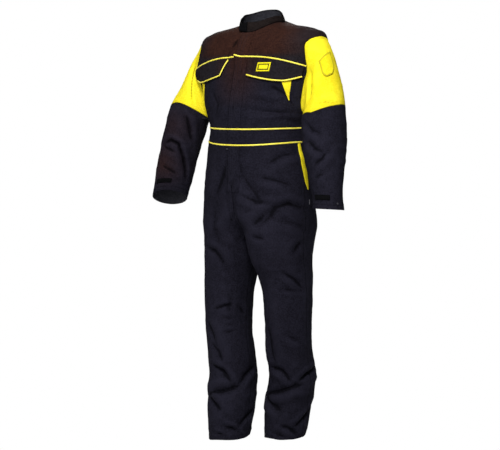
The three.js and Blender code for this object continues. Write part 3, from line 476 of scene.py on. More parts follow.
def front_row(x, z):
    """Row at which the plain front, at a distance from the middle plane, is at a height."""
    x, z = np.broadcast_arrays(np.asarray(x, float), np.asarray(z, float))
    low, high = np.full(x.shape, float(SHOULDER)), np.full(x.shape, float(CROTCH))
    for _ in range(24):
        middle = (low + high) / 2
        above = plain_body(LEFT, angle_at(middle, np.abs(x)), middle)[..., 2] > z
        low, high = np.where(above, middle, low), np.where(above, high, middle)
    return (low + high) / 2


def armhole_angle(row, part):
    """Angle where a front or back panel ends: the armhole's edge beside it, otherwise the side seam."""
    row = np.asarray(row, float)
    marks = ARMHOLE_MARKS[:, 1 if part == "front" else 2]
    index = np.interp(row, ARMHOLE_MARKS[:, 0], np.arange(len(marks)))
    found = smooth(marks[:, None], index)[..., 0]
    return np.radians(np.where((row <= SHOULDER) | (row >= UNDERARM), 90, found))


def wrap(side, turn, section):
    """A ring of a sleeve's section, and its directions out and forward."""
    spread, drop, forward, reach, depth, lean, swing, pitch = section
    lean, swing = math.radians(lean), math.radians(swing)
    pitch = math.radians(pitch) * CUFF_LIFT[side]
    out = np.array([math.cos(swing) * math.cos(lean), -math.sin(swing) * math.cos(lean), math.sin(lean)])
    level = math.cos(pitch)
    ahead = np.array([-math.sin(swing) * level, -math.cos(swing) * level, math.sin(pitch)])
    centre = np.array([spread * CUFF_SPREAD, -forward * CUFF_FORWARD, -drop * CUFF_DROP])
    cos, sin = np.cos(turn)[..., None], np.sin(turn)[..., None]
    points = centre + SLEEVE_RADIUS * (reach * cos * out + depth * sin * ahead)
    points[..., 0] *= side
    return points


def armhole_point(side, turn):
    wrapped = np.mod(turn, 2 * math.pi)
    back = wrapped > math.pi
    row = (SHOULDER + UNDERARM) / 2 - (UNDERARM - SHOULDER) / 2 * np.cos(wrapped)
    angle = np.where(back, math.pi - armhole_angle(row, "back"), armhole_angle(row, "front"))
    return body(side, angle, row)[0]


def plain_sleeve(side, turn, row):
    """Points of a sleeve. Row 0 is the armhole and the others are the sections below it."""
    rings = [armhole_point(side, turn), *(wrap(side, turn, section) for section in SLEEVE)]
    rings = [2 * rings[0] - rings[1], *rings, 2 * rings[-1] - rings[-2]]
    table = np.stack(rings, axis=-2)
    i = np.clip(np.floor(row).astype(int), 0, SLEEVE_END - 1)
    t = (row - i)[..., None]
    a, b, c, d = (np.take_along_axis(table, (i + k)[..., None, None], axis=-2)[..., 0, :] for k in range(4))
    return b + 0.5 * t * (c - a + t * (2 * a - 5 * b + 4 * c - d + t * (3 * (b - c) + d - a)))


def sleeve(side, turn, row):
    """Points and normals of a sleeve's outer face with its folds."""
    turn, row = np.broadcast_arrays(np.asarray(turn, float), np.asarray(row, float))
    points = plain_sleeve(side, turn, row)
    step, swing = 0.02, 0.05
    around = plain_sleeve(side, turn + swing, row) - plain_sleeve(side, turn - swing, row)
    low = plain_sleeve(side, turn, np.minimum(row + step, SLEEVE_END))
    down = low - plain_sleeve(side, turn, np.maximum(row - step, 0))
    normals = side * unit(np.cross(around, down))
    wrapped = np.mod(turn + math.pi, 2 * math.pi) - math.pi
    u, v = wrapped * SLEEVE_RADIUS, row * CUFF_DROP / SLEEVE_END
    height = np.zeros(row.shape)
    for fold_side, line, width, depth in SLEEVE_FOLDS:
        if fold_side in (0, side):
            plan = [(math.radians(a) * SLEEVE_RADIUS, r * CUFF_DROP / SLEEVE_END) for a, r in line]
            height += line_bump(u, v, plan, width, depth)
    elbow = np.exp(-(((row - 4.6) / 1.3) ** 2))
    squeezed = points * np.array([0.7, 0.7, 1.5])
    stretched = points * np.array([1, 1, 0.45])
    height += 1.6 * soft_noise(stretched, 55, 31)
    height += (1.0 + 1.6 * elbow) * (creases(squeezed, 62, 33) - 0.5)
    height += 0.7 * (creases(points, 30, 35) - 0.5)
    height += 0.35 * soft_noise(points, 12, 37)
    hold = np.clip(row / 0.5, 0, 1)
    return points + normals * (height * hold)[..., None], normals


def spaced(length, spacing):
    """Shares along a length, closer together at both ends."""
    near = np.array(EDGE_STEPS)
    count = max(2, int(round((length - 2 * near[-1]) / spacing)))
    middle = np.linspace(near[-1], length - near[-1], count + 1)
    return np.concatenate([near[:-1], middle, length - near[:-1][::-1]]) / length


def grid_lengths(points):
    """Distance walked along each row and down each column of a grid of points."""
    across = np.linalg.norm(np.diff(points, axis=1), axis=2)
    down = np.linalg.norm(np.diff(points, axis=0), axis=2)
    u = np.concatenate([np.zeros((len(points), 1)), np.cumsum(across, axis=1)], axis=1)
    v = np.concatenate([np.zeros((1, points.shape[1])), np.cumsum(down, axis=0)], axis=0)
    return u, v


def grid_normals(points):
    """Directions out of a grid of points."""
    around = np.gradient(points, axis=1)
    down = np.gradient(points, axis=0)
    return unit(np.cross(around, down))


def cavity(points, facing, reach=2):
    """How far the middle of each patch of a grid lies below its neighbours, in millimetres."""
    total = np.zeros(points.shape)
    for axis in (0, 1):
        for way in (-reach, reach):
            index = np.clip(np.arange(points.shape[axis]) + way, 0, points.shape[axis] - 1)
            total += np.take(points, index, axis=axis) - points
    total[:reach] = total[-reach:] = 0
    total[:, :reach] = total[:, -reach:] = 0
    return np.sum(total / 4 * facing, axis=-1)


def blob(points, middle, reach):
    """1 at a place, fading to 0 over its reach."""
    away = (points - np.array(middle)) / np.array(reach)
    return np.exp(-np.sum(away**2, axis=-1))


def brown_tint_and_painted_light(points):
    """Share of brown in the dark cloth: most on the yoke, fading at the shoulders and down the front, plus
    painted light: two reddish lit patches on the right sleeve.
    """
    x, y, z = np.moveaxis(points, -1, 0)
    aside = np.abs(x)
    yoke = np.clip((z + 132) / 20, 0, 1) * np.clip((262 - aside) / 110, 0.25, 1)
    below = np.clip((120 - aside) / 100, 0, 1) * np.clip((z + 310) / 200, 0, 1) * np.clip(-y / 60, 0, 1)
    yoke = np.where(z > 2, np.clip((x + 8) / 60, 0, 1), yoke)
    # Painted light: two reddish lit patches on the outer face of the right sleeve, lighter and browner where
    # the lamp falls
    arm = 0.4 * blob(points, (-330, -90, -375), (60, 90, 60))
    arm += 0.55 * blob(points, (-372, -140, -520), (60, 90, 62))
    return np.clip(np.maximum(np.where(z > -150, yoke, 0), below) + arm, 0, 1)


def seam_height(distance, along, seed, depth=1.1, turned=9):
    """A sewn edge: a ditch at the seam, doubled cloth beside it and small puckers."""
    ditch = -depth * np.exp(-((distance / 1.6) ** 2))
    doubled = 0.7 / (1 + np.exp(np.clip((distance - turned) / 1.2, -50, 50)))
    places = np.stack([along, distance * 0.4, np.zeros(along.shape)], axis=-1)
    pucker = 0.55 * soft_noise(places, 11, seed) * np.exp(-(((distance - 6) / 12) ** 2))
    return ditch + doubled + pucker


def add_grid(name, points):
    """A grid primitive whose vertices are moved onto a sheet of points."""
    rows, columns = points.shape[:2]
    bpy.ops.mesh.primitive_grid_add(x_subdivisions=columns - 1, y_subdivisions=rows - 1, size=1)
    piece = bpy.context.object
    piece.name = name
    piece.data.name = name
    piece.data.vertices.foreach_set("co", (points / 1000).ravel())
    piece.data.update()
    return piece


def set_uv(mesh, name, u, v):
    """A UV map in metres from one pair of values for each vertex."""
    layer = mesh.uv_layers.get(name) or mesh.uv_layers.new(name=name)
    corner = np.empty(len(mesh.loops), int)
    mesh.loops.foreach_get("vertex_index", corner)
    layer.uv.foreach_set("vector", np.stack([u.ravel()[corner], v.ravel()[corner]], axis=1).ravel() / 1000)


def set_attribute(mesh, name, values):
    """A measure in metres for each vertex."""
    attribute = mesh.attributes.new(name, "FLOAT", "POINT")
    attribute.data.foreach_set("value", values.ravel() / 1000)


def edit(piece, *steps):
    """Runs steps on the whole piece in edit mode."""
    bpy.ops.object.select_all(action="DESELECT")
    bpy.context.view_layer.objects.active = piece
    piece.select_set(True)
    bpy.ops.object.mode_set(mode="EDIT")
    bpy.ops.mesh.select_all(action="SELECT")
    for step, settings in steps:
        step(**settings)
    bpy.ops.object.mode_set(mode="OBJECT")


def delete_faces(piece, shape, doomed):
    """Deletes the faces of a grid that lie in two slices of its rows and columns."""
    marks = np.zeros((shape[0] - 1, shape[1] - 1), bool)
    marks[doomed] = True
    bpy.context.view_layer.objects.active = piece
    bpy.ops.object.mode_set(mode="EDIT")
    bpy.ops.mesh.select_mode(type="FACE")
    bpy.ops.object.mode_set(mode="OBJECT")
    piece.data.polygons.foreach_set("select", marks.ravel())
    bpy.ops.object.mode_set(mode="EDIT")
    bpy.ops.mesh.delete(type="FACE")
    bpy.ops.object.mode_set(mode="OBJECT")


def finish_with(piece, kind, **settings):
    """Adds a modifier and applies it."""
    bpy.context.view_layer.objects.active = piece
    modifier = piece.modifiers.new(kind.title(), kind)
    for key, value in settings.items():
        setattr(modifier, key, value)
    bpy.ops.object.modifier_apply(modifier=modifier.name)


# Distance to the nearest seam where a piece has none, in millimetres
FAR = 10000.0
# Points of a closed grid that are nearer than this are one point, in metres
MERGE_DISTANCE = 0.00002
ALL_ROUND = ("top", "foot", "start", "end")
# Flat cuts of the cloth pieces: width, length, area, how they are held, and on what
CUTS = {
    "yoke_back": (0.58, 0.22, 0.116, "hung", ["collar"]),
    "back_panel": (0.54, 0.24, 0.118, "hung", ["yoke_back"]),
    "waistband": (1.18, 0.055, 0.061, "hung", ["back_panel", "chest_panel_left", "chest_panel_right"]),
    "placket": (0.06, 0.6, 0.036, "laid", ["chest_panel_left", "chest_panel_right", "waistband"]),
    "collar": (0.53, 0.04, 0.018, "stretched", ["yoke_back", "yoke_front_left", "yoke_front_right"]),
    "collar_tab": (0.036, 0.036, 0.0012, "laid", ["collar"]),
    "chest_patch": (0.06, 0.034, 0.002, "laid", ["pocket_flap_left"]),
    "sleeve_badge": (0.066, 0.086, 0.005, "laid", ["upper_sleeve_left"]),
    "pocket_flap_left": (0.21, 0.08, 0.0145, "laid", ["chest_panel_left"]),
    "pocket_flap_right": (0.2, 0.08, 0.0135, "laid", ["chest_panel_right"]),
}
for name in SIDES:
    CUTS |= {
        f"yoke_front_{name}": (0.29, 0.19, 0.045, "hung", ["yoke_back"]),
        f"chest_panel_{name}": (0.27, 0.27, 0.067, "hung", [f"yoke_front_{name}"]),
        f"trouser_leg_{name}": (0.74, 1.13, 0.68, "hung", ["waistband"]),
        f"upper_sleeve_{name}": (0.5, 0.25, 0.09, "hung", [f"yoke_front_{name}", "yoke_back"]),
        f"lower_sleeve_{name}": (0.45, 0.38, 0.15, "hung", [f"upper_sleeve_{name}"]),
        f"chest_wedge_{name}": (0.035, 0.069, 0.0014, "laid", [f"chest_panel_{name}"]),
        f"hip_wedge_{name}": (0.026, 0.17, 0.0028, "laid", [f"trouser_leg_{name}"]),
        f"cuff_tab_{name}": (0.063, 0.018, 0.0011, "laid", [f"lower_sleeve_{name}"]),
    }


def node_of(name):
    """The CAD node that a piece stands for: its name before _cloth or _cord. Other pieces stand for none."""
    return name.rsplit("_", 1)[0] if name.endswith(("_cloth", "_cord")) else None


def sew(
    name, points, finish, inner, sewn=(), hem=0, lines=(),
    thickness=CLOTH, closed=False, doomed=None, flip=False,
):
    """A cloth piece from a grid of points, with its sewn edges, its turned hem and the seams across it."""
    u, v = grid_lengths(points)
    facing = grid_normals(points) * (-1 if flip else 1)
    across = np.full(u.shape, FAR)
    along = np.full(u.shape, FAR)
    if "start" in sewn:
        along = np.minimum(along, u)
    if "end" in sewn:
        along = np.minimum(along, u[:, -1:] - u)
    if "top" in sewn:
        across = np.minimum(across, v)
    if "foot" in sewn:
        across = np.minimum(across, v[-1:] - v)
    for line in lines:
        along = np.minimum(along, line(u, v))
    seed = sum(map(ord, name))
    rise = seam_height(across, u, seed) + seam_height(along, v, seed + 1)
    if hem:
        rise += seam_height(v[-1:] - v, u, seed + 2, 0, hem)
        across = np.minimum(across, np.abs(v[-1:] - v - hem + 8.5))
    points = points + facing * rise[..., None]
    piece = add_grid(name, points)
    set_uv(piece.data, "UVMap", u, v)
    set_attribute(piece.data, "seam_across", across)
    set_attribute(piece.data, "seam_along", along)
    # The cavity drives the twill's painted shade in hollows and painted highlight on ridges
    set_attribute(piece.data, "cavity", cavity(points, facing) + 0.4 * cavity(points, facing, 5))
    set_attribute(piece.data, "brown_tint_and_painted_light", 1000 * brown_tint_and_painted_light(points))
    if doomed is not None:
        delete_faces(piece, points.shape, doomed)
    steps = []
    if closed:
        steps.append((bpy.ops.mesh.remove_doubles, {"threshold": MERGE_DISTANCE}))
    if flip:
        steps.append((bpy.ops.mesh.flip_normals, {}))
    if steps:
        edit(piece, *steps)
    piece.data.materials.append(finish)
    piece.data.materials.append(inner)
    wall = {"thickness": thickness / 1000, "offset": -1, "use_even_offset": False, "material_offset": 1}
    finish_with(piece, "SOLIDIFY", **wall)
    bpy.ops.object.select_all(action="DESELECT")
    piece.select_set(True)
    bpy.ops.object.shade_smooth_by_angle(angle=math.radians(50))
    piece.select_set(False)
    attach(piece, "root")
    node = node_of(name)
    if node:
        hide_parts(node)
    node in CUTS


class Wire:
    """A shader socket on which Python's arithmetic adds Math nodes."""

    def __init__(self, finish, socket):
        self.finish = finish
        self.socket = socket

    def math(self, operation, *others):
        values = {f"_{i}": value for i, value in enumerate((self, *others))}
        return self.finish.add("ShaderNodeMath", {"operation": operation}, **values)

    def __add__(self, other):
        return self.math("ADD", other)

    def __sub__(self, other):
        return self.math("SUBTRACT", other)

    def __rsub__(self, other):
        return self.finish.add("ShaderNodeMath", {"operation": "SUBTRACT"}, _0=other, _1=self)

    def __mul__(self, other):
        return self.math("MULTIPLY", other)

    def __truediv__(self, other):
        return self.math("DIVIDE", other)

    def __abs__(self):
        return self.math("ABSOLUTE")

    __radd__ = __add__
    __rmul__ = __mul__

    def wave(self, period):
        return (self * (2 * math.pi / period)).math("SINE")

    def beat(self, period):
        """Goes from 0 to 1 again and again."""
        return (self / period).math("FRACT")

    def between(self, low, high):
        """0 below low, 1 above high, smooth between them."""
        settings = {"interpolation_type": "SMOOTHSTEP"}
        return self.finish.add("ShaderNodeMapRange", settings, _0=self, _1=low, _2=high)


class Finish:
    """A material under construction."""

    def __init__(self, name, roughness, sheen=0.0, specular=0.04):
        self.material = bpy.data.materials.new(name)
        self.material.use_nodes = True
        self.nodes = self.material.node_tree.nodes
        self.links = self.material.node_tree.links
        self.shader = self.nodes["Principled BSDF"]
        self.shader.inputs["Roughness"].default_value = roughness
        self.shader.inputs["Specular IOR Level"].default_value = specular
        self.shader.inputs["Sheen Weight"].default_value = sheen
        self.shader.inputs["Sheen Roughness"].default_value = 0.4

    def plug(self, socket, value):
        if isinstance(value, Wire):
            self.links.new(value.socket, socket)
        else:
            socket.default_value = value

    def add(self, kind, settings=None, out=0, **inputs):
        node = self.nodes.new(kind)
        for key, value in (settings or {}).items():
            setattr(node, key, value)
        for key, value in inputs.items():
            socket = node.inputs[int(key[1:])] if key[0] == "_" else node.inputs[key.replace("_", " ")]
            self.plug(socket, value)
        return Wire(self, node.outputs[out])

    def place(self):
        return self.add("ShaderNodeTexCoord", out="Object")

    def cloth_plan(self):
        """Metres across and down the piece."""
        plan = self.add("ShaderNodeUVMap", {"uv_map": "UVMap"})
        split = self.nodes.new("ShaderNodeSeparateXYZ")
        self.links.new(plan.socket, split.inputs[0])
        return Wire(self, split.outputs[0]), Wire(self, split.outputs[1])

    def measure(self, name):
        return self.add("ShaderNodeAttribute", {"attribute_name": name}, out="Fac")

    def noise(self, scale, detail=3, rough=0.55):
        settings = {"Vector": self.place(), "Scale": scale, "Detail": detail, "Roughness": rough}
        return self.add("ShaderNodeTexNoise", out="Fac", **settings)

    def mix(self, share, first, second):
        settings = {"data_type": "RGBA", "clamp_factor": True}
        return self.add("ShaderNodeMix", settings, out=2, _0=share, _6=first, _7=second)

    def bump(self, height, distance):
        normal = self.add("ShaderNodeBump", Strength=1.0, Distance=distance, Height=height)
        self.plug(self.shader.inputs["Normal"], normal)

    def paint(self, colour):
        self.plug(self.shader.inputs["Base Color"], colour)


def tone(red, green, blue):
    """A colour from 8-bit screen values."""
    linear = (((c / 255 + 0.055) / 1.055) ** 2.4 if c > 10 else c / 255 / 12.92 for c in (red, green, blue))
    return (*linear, 1)


def scaled(colour, factor):
    return tuple(c * factor for c in colour[:3]) + (1,)


# Twill, in metres: height of its weave, one rib, one stitch, and how far rows of stitches are from a seam
WEAVE_HEIGHT = 0.00022
RIB = 0.0016
STITCH = 0.0036
STITCH_ROWS = 0.0055, 0.0115


def twill(name, deep, light, thread, warm=None, roughness=0.9, edge=None):
    """Twill cloth with painted shade in its folds and seam ditches and a painted highlight on the ridges of
    its folds, with stitches beside its seams, or a border if edge gives one.

    warm is a second deep and light. edge is the border's distance from the seam, reach, colour and share.
    """
    finish = Finish(name, roughness)
    across, down = finish.cloth_plan()
    seam_across, seam_along = finish.measure("seam_across"), finish.measure("seam_along")
    cloudy = finish.noise(6, 4, 0.6)
    mottled = finish.noise(55, 4, 0.65)
    yarn = finish.noise(900, 2, 0.5)
    slub = finish.noise(230, 2, 0.5)
    shade = (cloudy * 0.3 + mottled * 0.25 + slub * 0.65).between(0.42, 0.78)
    colour = finish.mix(shade, deep, light)
    hollow = finish.measure("cavity")
    # Painted highlight: ridges of the folds, where the cavity is negative, are lightened towards a lighter
    # copy of the cloth's light tone
    colour = finish.mix((hollow * -1).between(0.0006, 0.0034) * 0.3, colour, scaled(light, 1.5))
    if warm:
        # Brown tint of the yoke and front, which also carries the painted light of the lit patches on the
        # right sleeve
        share = finish.measure("brown_tint_and_painted_light") * (mottled * 0.5 + 0.75)
        colour = finish.mix(share, colour, finish.mix(shade, *warm))
    lines = (across + down * 1.6).wave(RIB)
    sewn = None
    for seam, way in ((seam_across, across), (seam_along, down)):
        for row in STITCH_ROWS:
            near = 1 - abs(seam - row).between(0.0004, 0.0009)
            stitch = near * way.beat(STITCH).between(0.22, 0.32)
            sewn = stitch if sewn is None else sewn.math("MAXIMUM", stitch)
    ditch_across = 1 - seam_across.between(0.0004, 0.0018)
    ditch_along = 1 - seam_along.between(0.0004, 0.0018)
    ditch = ditch_across.math("MAXIMUM", ditch_along)
    # Painted shade: hollows and folds, where the cavity is positive, are darkened towards a deep tone
    colour = finish.mix(hollow.between(0.0, 0.0034) * 0.7, colour, scaled(deep, 0.2))
    # Painted shade in the ditches along the seams
    colour = finish.mix(ditch * 0.7, colour, scaled(deep, 0.35))
    if edge:
        place, reach, border_tone, share = edge
        nearest = seam_across.math("MINIMUM", seam_along)
        border = 1 - abs(nearest - place).between(reach * 0.5, reach)
        colour = finish.mix(border * share, colour, border_tone)
    else:
        colour = finish.mix(sewn * 0.5, colour, thread)
    finish.paint(colour)
    height = lines * 0.35 + yarn * 0.9 + sewn * 2.2 - ditch * 1.5
    finish.bump(height, WEAVE_HEIGHT)
    return finish.material


BROWN = tone(34, 18, 15), tone(55, 33, 26)
NAVY = twill("navy_twill", tone(15, 14, 21), tone(30, 29, 39), tone(38, 37, 46), BROWN)
BROWN_BLACK = twill("brown_black_twill", tone(19, 16, 19), tone(34, 31, 35), tone(46, 38, 38), BROWN)
COLLAR_BLACK = twill("collar_black_twill", tone(14, 10, 10), tone(31, 25, 24), tone(36, 31, 31))
TAB_BLACK = twill("tab_black", tone(4, 4, 5), tone(10, 10, 12), tone(18, 18, 20))
YELLOW = twill("yellow_twill", tone(222, 203, 26), tone(236, 220, 46), tone(206, 188, 30), roughness=0.85)
PATCH_BORDER = 0.0072, 0.0028, tone(24, 22, 18), 0.95
BADGE_BORDER = 0.0036, 0.003, tone(168, 150, 40), 0.7
PATCH_YELLOW = twill(
    "patch_yellow", tone(226, 210, 22), tone(238, 226, 38), tone(200, 184, 30), edge=PATCH_BORDER,
)
BADGE_YELLOW = twill(
    "badge_yellow", tone(222, 206, 26), tone(234, 222, 40), tone(200, 184, 30), edge=BADGE_BORDER,
)
INNER = twill("inner_face", tone(36, 36, 41), tone(54, 54, 60), tone(66, 66, 72))
INNER_YELLOW = twill("inner_face_yellow", tone(214, 200, 70), tone(232, 220, 100), tone(190, 176, 60))


def piping_finish():
    """Pale, slightly glossy piping with fine ribs across it."""
    finish = Finish("pale_piping", 0.55, 0.1, 0.4)
    across = finish.cloth_plan()[0]
    shade = finish.noise(40, 3).between(0.3, 0.7)
    colour = finish.mix(shade, tone(236, 218, 62), tone(248, 236, 92))
    finish.paint(colour)
    finish.bump(across.wave(RIB) * 0.5 + finish.noise(500, 2), 0.0002)
    return finish.material


PIPING = piping_finish()


def rows_between(start, end, marks, spacing, side=LEFT, angle=math.radians(45)):
    """Row numbers from start to end, spaced evenly down the body and closer at both ends."""
    fine = np.linspace(start, end, 400)
    walk = plain_body(side, np.full(400, angle), fine)
    length = np.concatenate([[0], np.cumsum(np.linalg.norm(np.diff(walk, axis=0), axis=1))])
    even = spaced(length[-1], spacing) * length[-1]
    found = np.interp(even, length, fine)
    extra = [mark for mark in marks if start < mark < end]
    return np.unique(np.concatenate([found, extra]))


ARMHOLE_ROWS = np.unique(np.concatenate([np.linspace(4, 4.3, 10), np.linspace(8.6, 9, 8)]))


def front_panel(side, start, end):
    """Grid of one front half between two rows, from the middle to the armhole or side seam."""
    rows = rows_between(start, end, ARMHOLE_ROWS, GRID_STEP)
    share = spaced(YOKE_SPAN if start == NECK else CHEST_SPAN, GRID_STEP)
    row = np.repeat(rows[:, None], len(share), axis=1)
    first = front_start(row)
    angle = first + (armhole_angle(row, "front") - first) * share
    return body(side, angle, row)[0]


def back_panel(start, end):
    """Grid of the whole back between two rows, from armhole to armhole."""
    rows = rows_between(start, end, ARMHOLE_ROWS, BACK_STEP, angle=math.radians(135))
    share = spaced(BACK_SPAN, BACK_STEP) * 2 - 1
    row = np.repeat(rows[:, None], len(share), axis=1)
    angle = math.pi - armhole_angle(row, "back") * np.abs(share)
    left, right = body(LEFT, angle, row)[0], body(RIGHT, angle, row)[0]
    return np.where((share < 0)[None, :, None], left, right)


for name, side in SIDES.items():
    yoke = front_panel(side, NECK, YOKE)
    sew(f"yoke_front_{name}_cloth", yoke, BROWN_BLACK, INNER, ALL_ROUND, flip=side == LEFT)
    chest = front_panel(side, YOKE, WAIST)
    sew(f"chest_panel_{name}_cloth", chest, NAVY, INNER, ALL_ROUND, flip=side == LEFT)
sew("yoke_back_cloth", back_panel(NECK, YOKE), BROWN_BLACK, INNER, ALL_ROUND, flip=True)
sew("back_panel_cloth", back_panel(YOKE, WAIST), NAVY, INNER, ALL_ROUND, flip=True)


def waistband():
    """Grid of the band, from the middle of the front all the way round."""
    half = spaced(HALF_ROUND, 6)
    share = np.concatenate([half, 2 - half[::-1][1:]])
    rows = WAIST + spaced(WAISTBAND_HEIGHT + 6, 5)
    row = np.repeat(rows[:, None], len(share), axis=1)
    within = np.where(share <= 1, share, 2 - share)
    first = front_start(row)
    angle = first + (math.pi - first) * within
    left, right = body(LEFT, angle, row)[0], body(RIGHT, angle, row)[0]
    return np.where((share <= 1)[None, :, None], left, right)


sew("waistband_cloth", waistband(), NAVY, INNER, ALL_ROUND, flip=True)


WIDEST_SLIT = 30


def trouser_leg(side):
    """Grid of a leg: the outer columns run all the way down, the inner ones only below the crotch."""
    seat = rows_between(BAND, CROTCH, (), GRID_STEP, side)[:-3]
    leg = rows_between(CROTCH, HEM, (), GRID_STEP, side)[3:]
    rows = np.concatenate([seat, [CROTCH], leg])
    outer = spaced(HALF_ROUND, 6)
    inner = np.linspace(0, 1, 27)[1:]
    row = np.repeat(rows[:, None], len(outer) + len(inner), axis=1)
    first, last = front_start(row), back_end(row)
    share = np.concatenate([outer, inner])
    ahead = first + (last - first) * share
    beyond = last + (first + 2 * math.pi - last) * share
    is_outer = np.arange(len(share)) < len(outer)
    angle = np.where(is_outer, ahead, beyond)
    points = body(side, angle, row)[0]
    # The columns beside the seat's middle seam close up, wherever folds have drawn them apart
    for step, reach in enumerate((1, 0.8, 0.5)):
        for column in (step, len(outer) - 1 - step):
            apart = points[:len(seat), column, 0] - side * SEAM_GAP / 2
            points[:len(seat), column, 0] -= reach * apart * (np.abs(apart) < WIDEST_SLIT)
    doomed = (slice(0, len(seat)), slice(len(outer) - 1, None))
    return points, doomed, rows, angle, is_outer


for name, side in SIDES.items():
    points, doomed, rows, angle, is_outer = trouser_leg(side)
    upper = (rows < CROTCH)[:, None]

    def side_seam(u, v, angle=angle):
        index = np.abs(angle - math.pi / 2).argmin(axis=1)
        return np.abs(u - np.take_along_axis(u, index[:, None], axis=1))

    def inner_seam(u, v, angle=angle, upper=upper, is_outer=is_outer):
        index = np.abs(angle - 1.5 * math.pi).argmin(axis=1)
        below = np.abs(u - np.take_along_axis(u, index[:, None], axis=1))
        rise = np.minimum(u, np.abs(u - u[:, is_outer][:, -1:]))
        return np.where(upper, rise, below)

    sew(
        f"trouser_leg_{name}_cloth", points, NAVY, INNER, ("top",), HEM_TURN, (side_seam, inner_seam),
        closed=True, doomed=doomed, flip=side == LEFT,
    )


def sleeve_grid(side, start, end):
    """Grid of a sleeve between two rows, with the seam between the sleeves rising inside the arm."""
    share = spaced((end - start) * CUFF_DROP / SLEEVE_END, GRID_STEP)
    turns = math.pi + 2 * math.pi * spaced(SLEEVE_ROUND, GRID_STEP)
    rise, first, last = SEAM_RISE[side]
    wrapped = np.degrees(np.mod(turns + math.pi - 0.5, 2 * math.pi) - math.pi + 0.5)
    lift = rise * np.clip((wrapped - first) / (last - first), 0, 1) * np.clip((205 - wrapped) / 25, 0, 1)
    tops = start - lift * (start == SLEEVE_SEAM)
    feet = end - lift * (end == SLEEVE_SEAM)
    turn, share = np.meshgrid(turns, share)
    return sleeve(side, turn, tops + (feet - tops) * share)[0]


for name, side in SIDES.items():
    upper, lower = sleeve_grid(side, 0, SLEEVE_SEAM), sleeve_grid(side, SLEEVE_SEAM, SLEEVE_END)
    settings = {"closed": True, "flip": side == RIGHT}
    sew(f"upper_sleeve_{name}_cloth", upper, YELLOW, INNER_YELLOW, ALL_ROUND, **settings)
    sew(f"lower_sleeve_{name}_cloth", lower, NAVY, INNER, ("top", "start", "end"), HEM_TURN, **settings)


def on_placket(x):
    """1 where a trim lies over the placket, 0 beside it."""
    left_edge = 1 / (1 + np.exp(-np.clip((x + PLACKET_EDGE + 1) / 0.8, -40, 40)))
    right_edge = 1 / (1 + np.exp(np.clip((x - PLACKET_WIDTH + PLACKET_EDGE - 2) / 0.8, -40, 40)))
    return left_edge * right_edge


def placket():
    """Grid of the strip over the front closing, which stands off most at its free edge."""
    foot = float(front_row(0, BAND_FOOT - PLACKET_FOOT))
    rows = rows_between(0.17, foot, (), GRID_STEP, LEFT, 0.05)
    x = -PLACKET_EDGE + PLACKET_WIDTH * spaced(PLACKET_WIDTH, 4.5)
    across, row = np.meshgrid(x, rows)
    points, normals = front(across, row)
    share = (across + PLACKET_EDGE) / PLACKET_WIDTH
    return points + normals * (PLACKET_LIFT - PLACKET_SLOPE * share)[..., None]


def seam_at(distance):
    """A seam line that runs down a piece at a distance from its first edge."""
    return lambda u, v: np.abs(u - distance)


lines = [seam_at(PLACKET_WIDTH * share) for share in PLACKET_SEAMS]
sew("placket_cloth", placket(), NAVY, INNER, ("start",), lines=lines, thickness=TRIM_CLOTH, flip=True)


DOME_POINTS = 9


def strip(name, points, normals, width, height, finish, taper=None):
    """A domed strip along a curve, such as piping. taper gives a width for each point."""
    along = unit(np.gradient(points, axis=0))
    aside = unit(np.cross(along, normals))
    swing = np.linspace(0, math.pi, DOME_POINTS)
    wide = np.full(len(points), width) if taper is None else taper
    across = aside[:, None] * (wide[:, None] / 2 * np.cos(swing))[..., None]
    up = normals[:, None] * (height * np.sin(swing))[None, :, None]
    grid = points[:, None] + across + up
    facing = grid_normals(grid)
    outward = np.sum(facing[len(grid) // 2, DOME_POINTS // 2] * normals[len(grid) // 2]) > 0
    sew(name, grid, finish, finish, thickness=CORD_CLOTH, flip=not outward)


def trim_curve(side, row, last_angle, count=160):
    """Curve along a seam from the placket round the side, climbing over the placket."""
    begin = -PLACKET_EDGE + SEAM_GAP if side == LEFT else PLACKET_EDGE + 1.5
    first = angle_at(row, PLACKET_WIDTH - PLACKET_EDGE)
    if side == LEFT:
        x = np.linspace(begin, PLACKET_WIDTH - PLACKET_EDGE, 24)[:-1]
        lap = front(x, np.full(x.shape, float(row)))
        angles = np.linspace(first, last_angle, count)
    else:
        lap = None
        angles = np.linspace(float(angle_at(row, begin)), last_angle, count)
    points, normals = body(side, angles, np.full(angles.shape, float(row)))
    if lap:
        points = np.concatenate([lap[0], points])
        normals = np.concatenate([lap[1], normals])
    if side == LEFT and row == YOKE:
        # The chest piping runs a little uphill over the placket
        points[:, 2] += 7 * np.clip((12 - points[:, 0]) / 35, 0, 1) ** 1.4
    climb = PLACKET_CLIMB * on_placket(points[:, 0])
    return points + normals * (climb + 0.1)[:, None], normals


for name, side in SIDES.items():
    armhole = float(armhole_angle(YOKE, "front")) - 0.012
    strip(f"chest_piping_{name}_cord", *trim_curve(side, YOKE, armhole, 60), *PIPING_SECTION, PIPING)
    for level, row in (("upper", WAIST), ("lower", BAND)):
        curve = trim_curve(side, row, math.pi - 0.0015)
        strip(f"waist_piping_{level}_{name}_cord", *curve, *PIPING_SECTION, PIPING)


def yoke_edge_x():
    return abs(float(plain_body(LEFT, armhole_angle(YOKE, "front"), YOKE)[0])) - 5


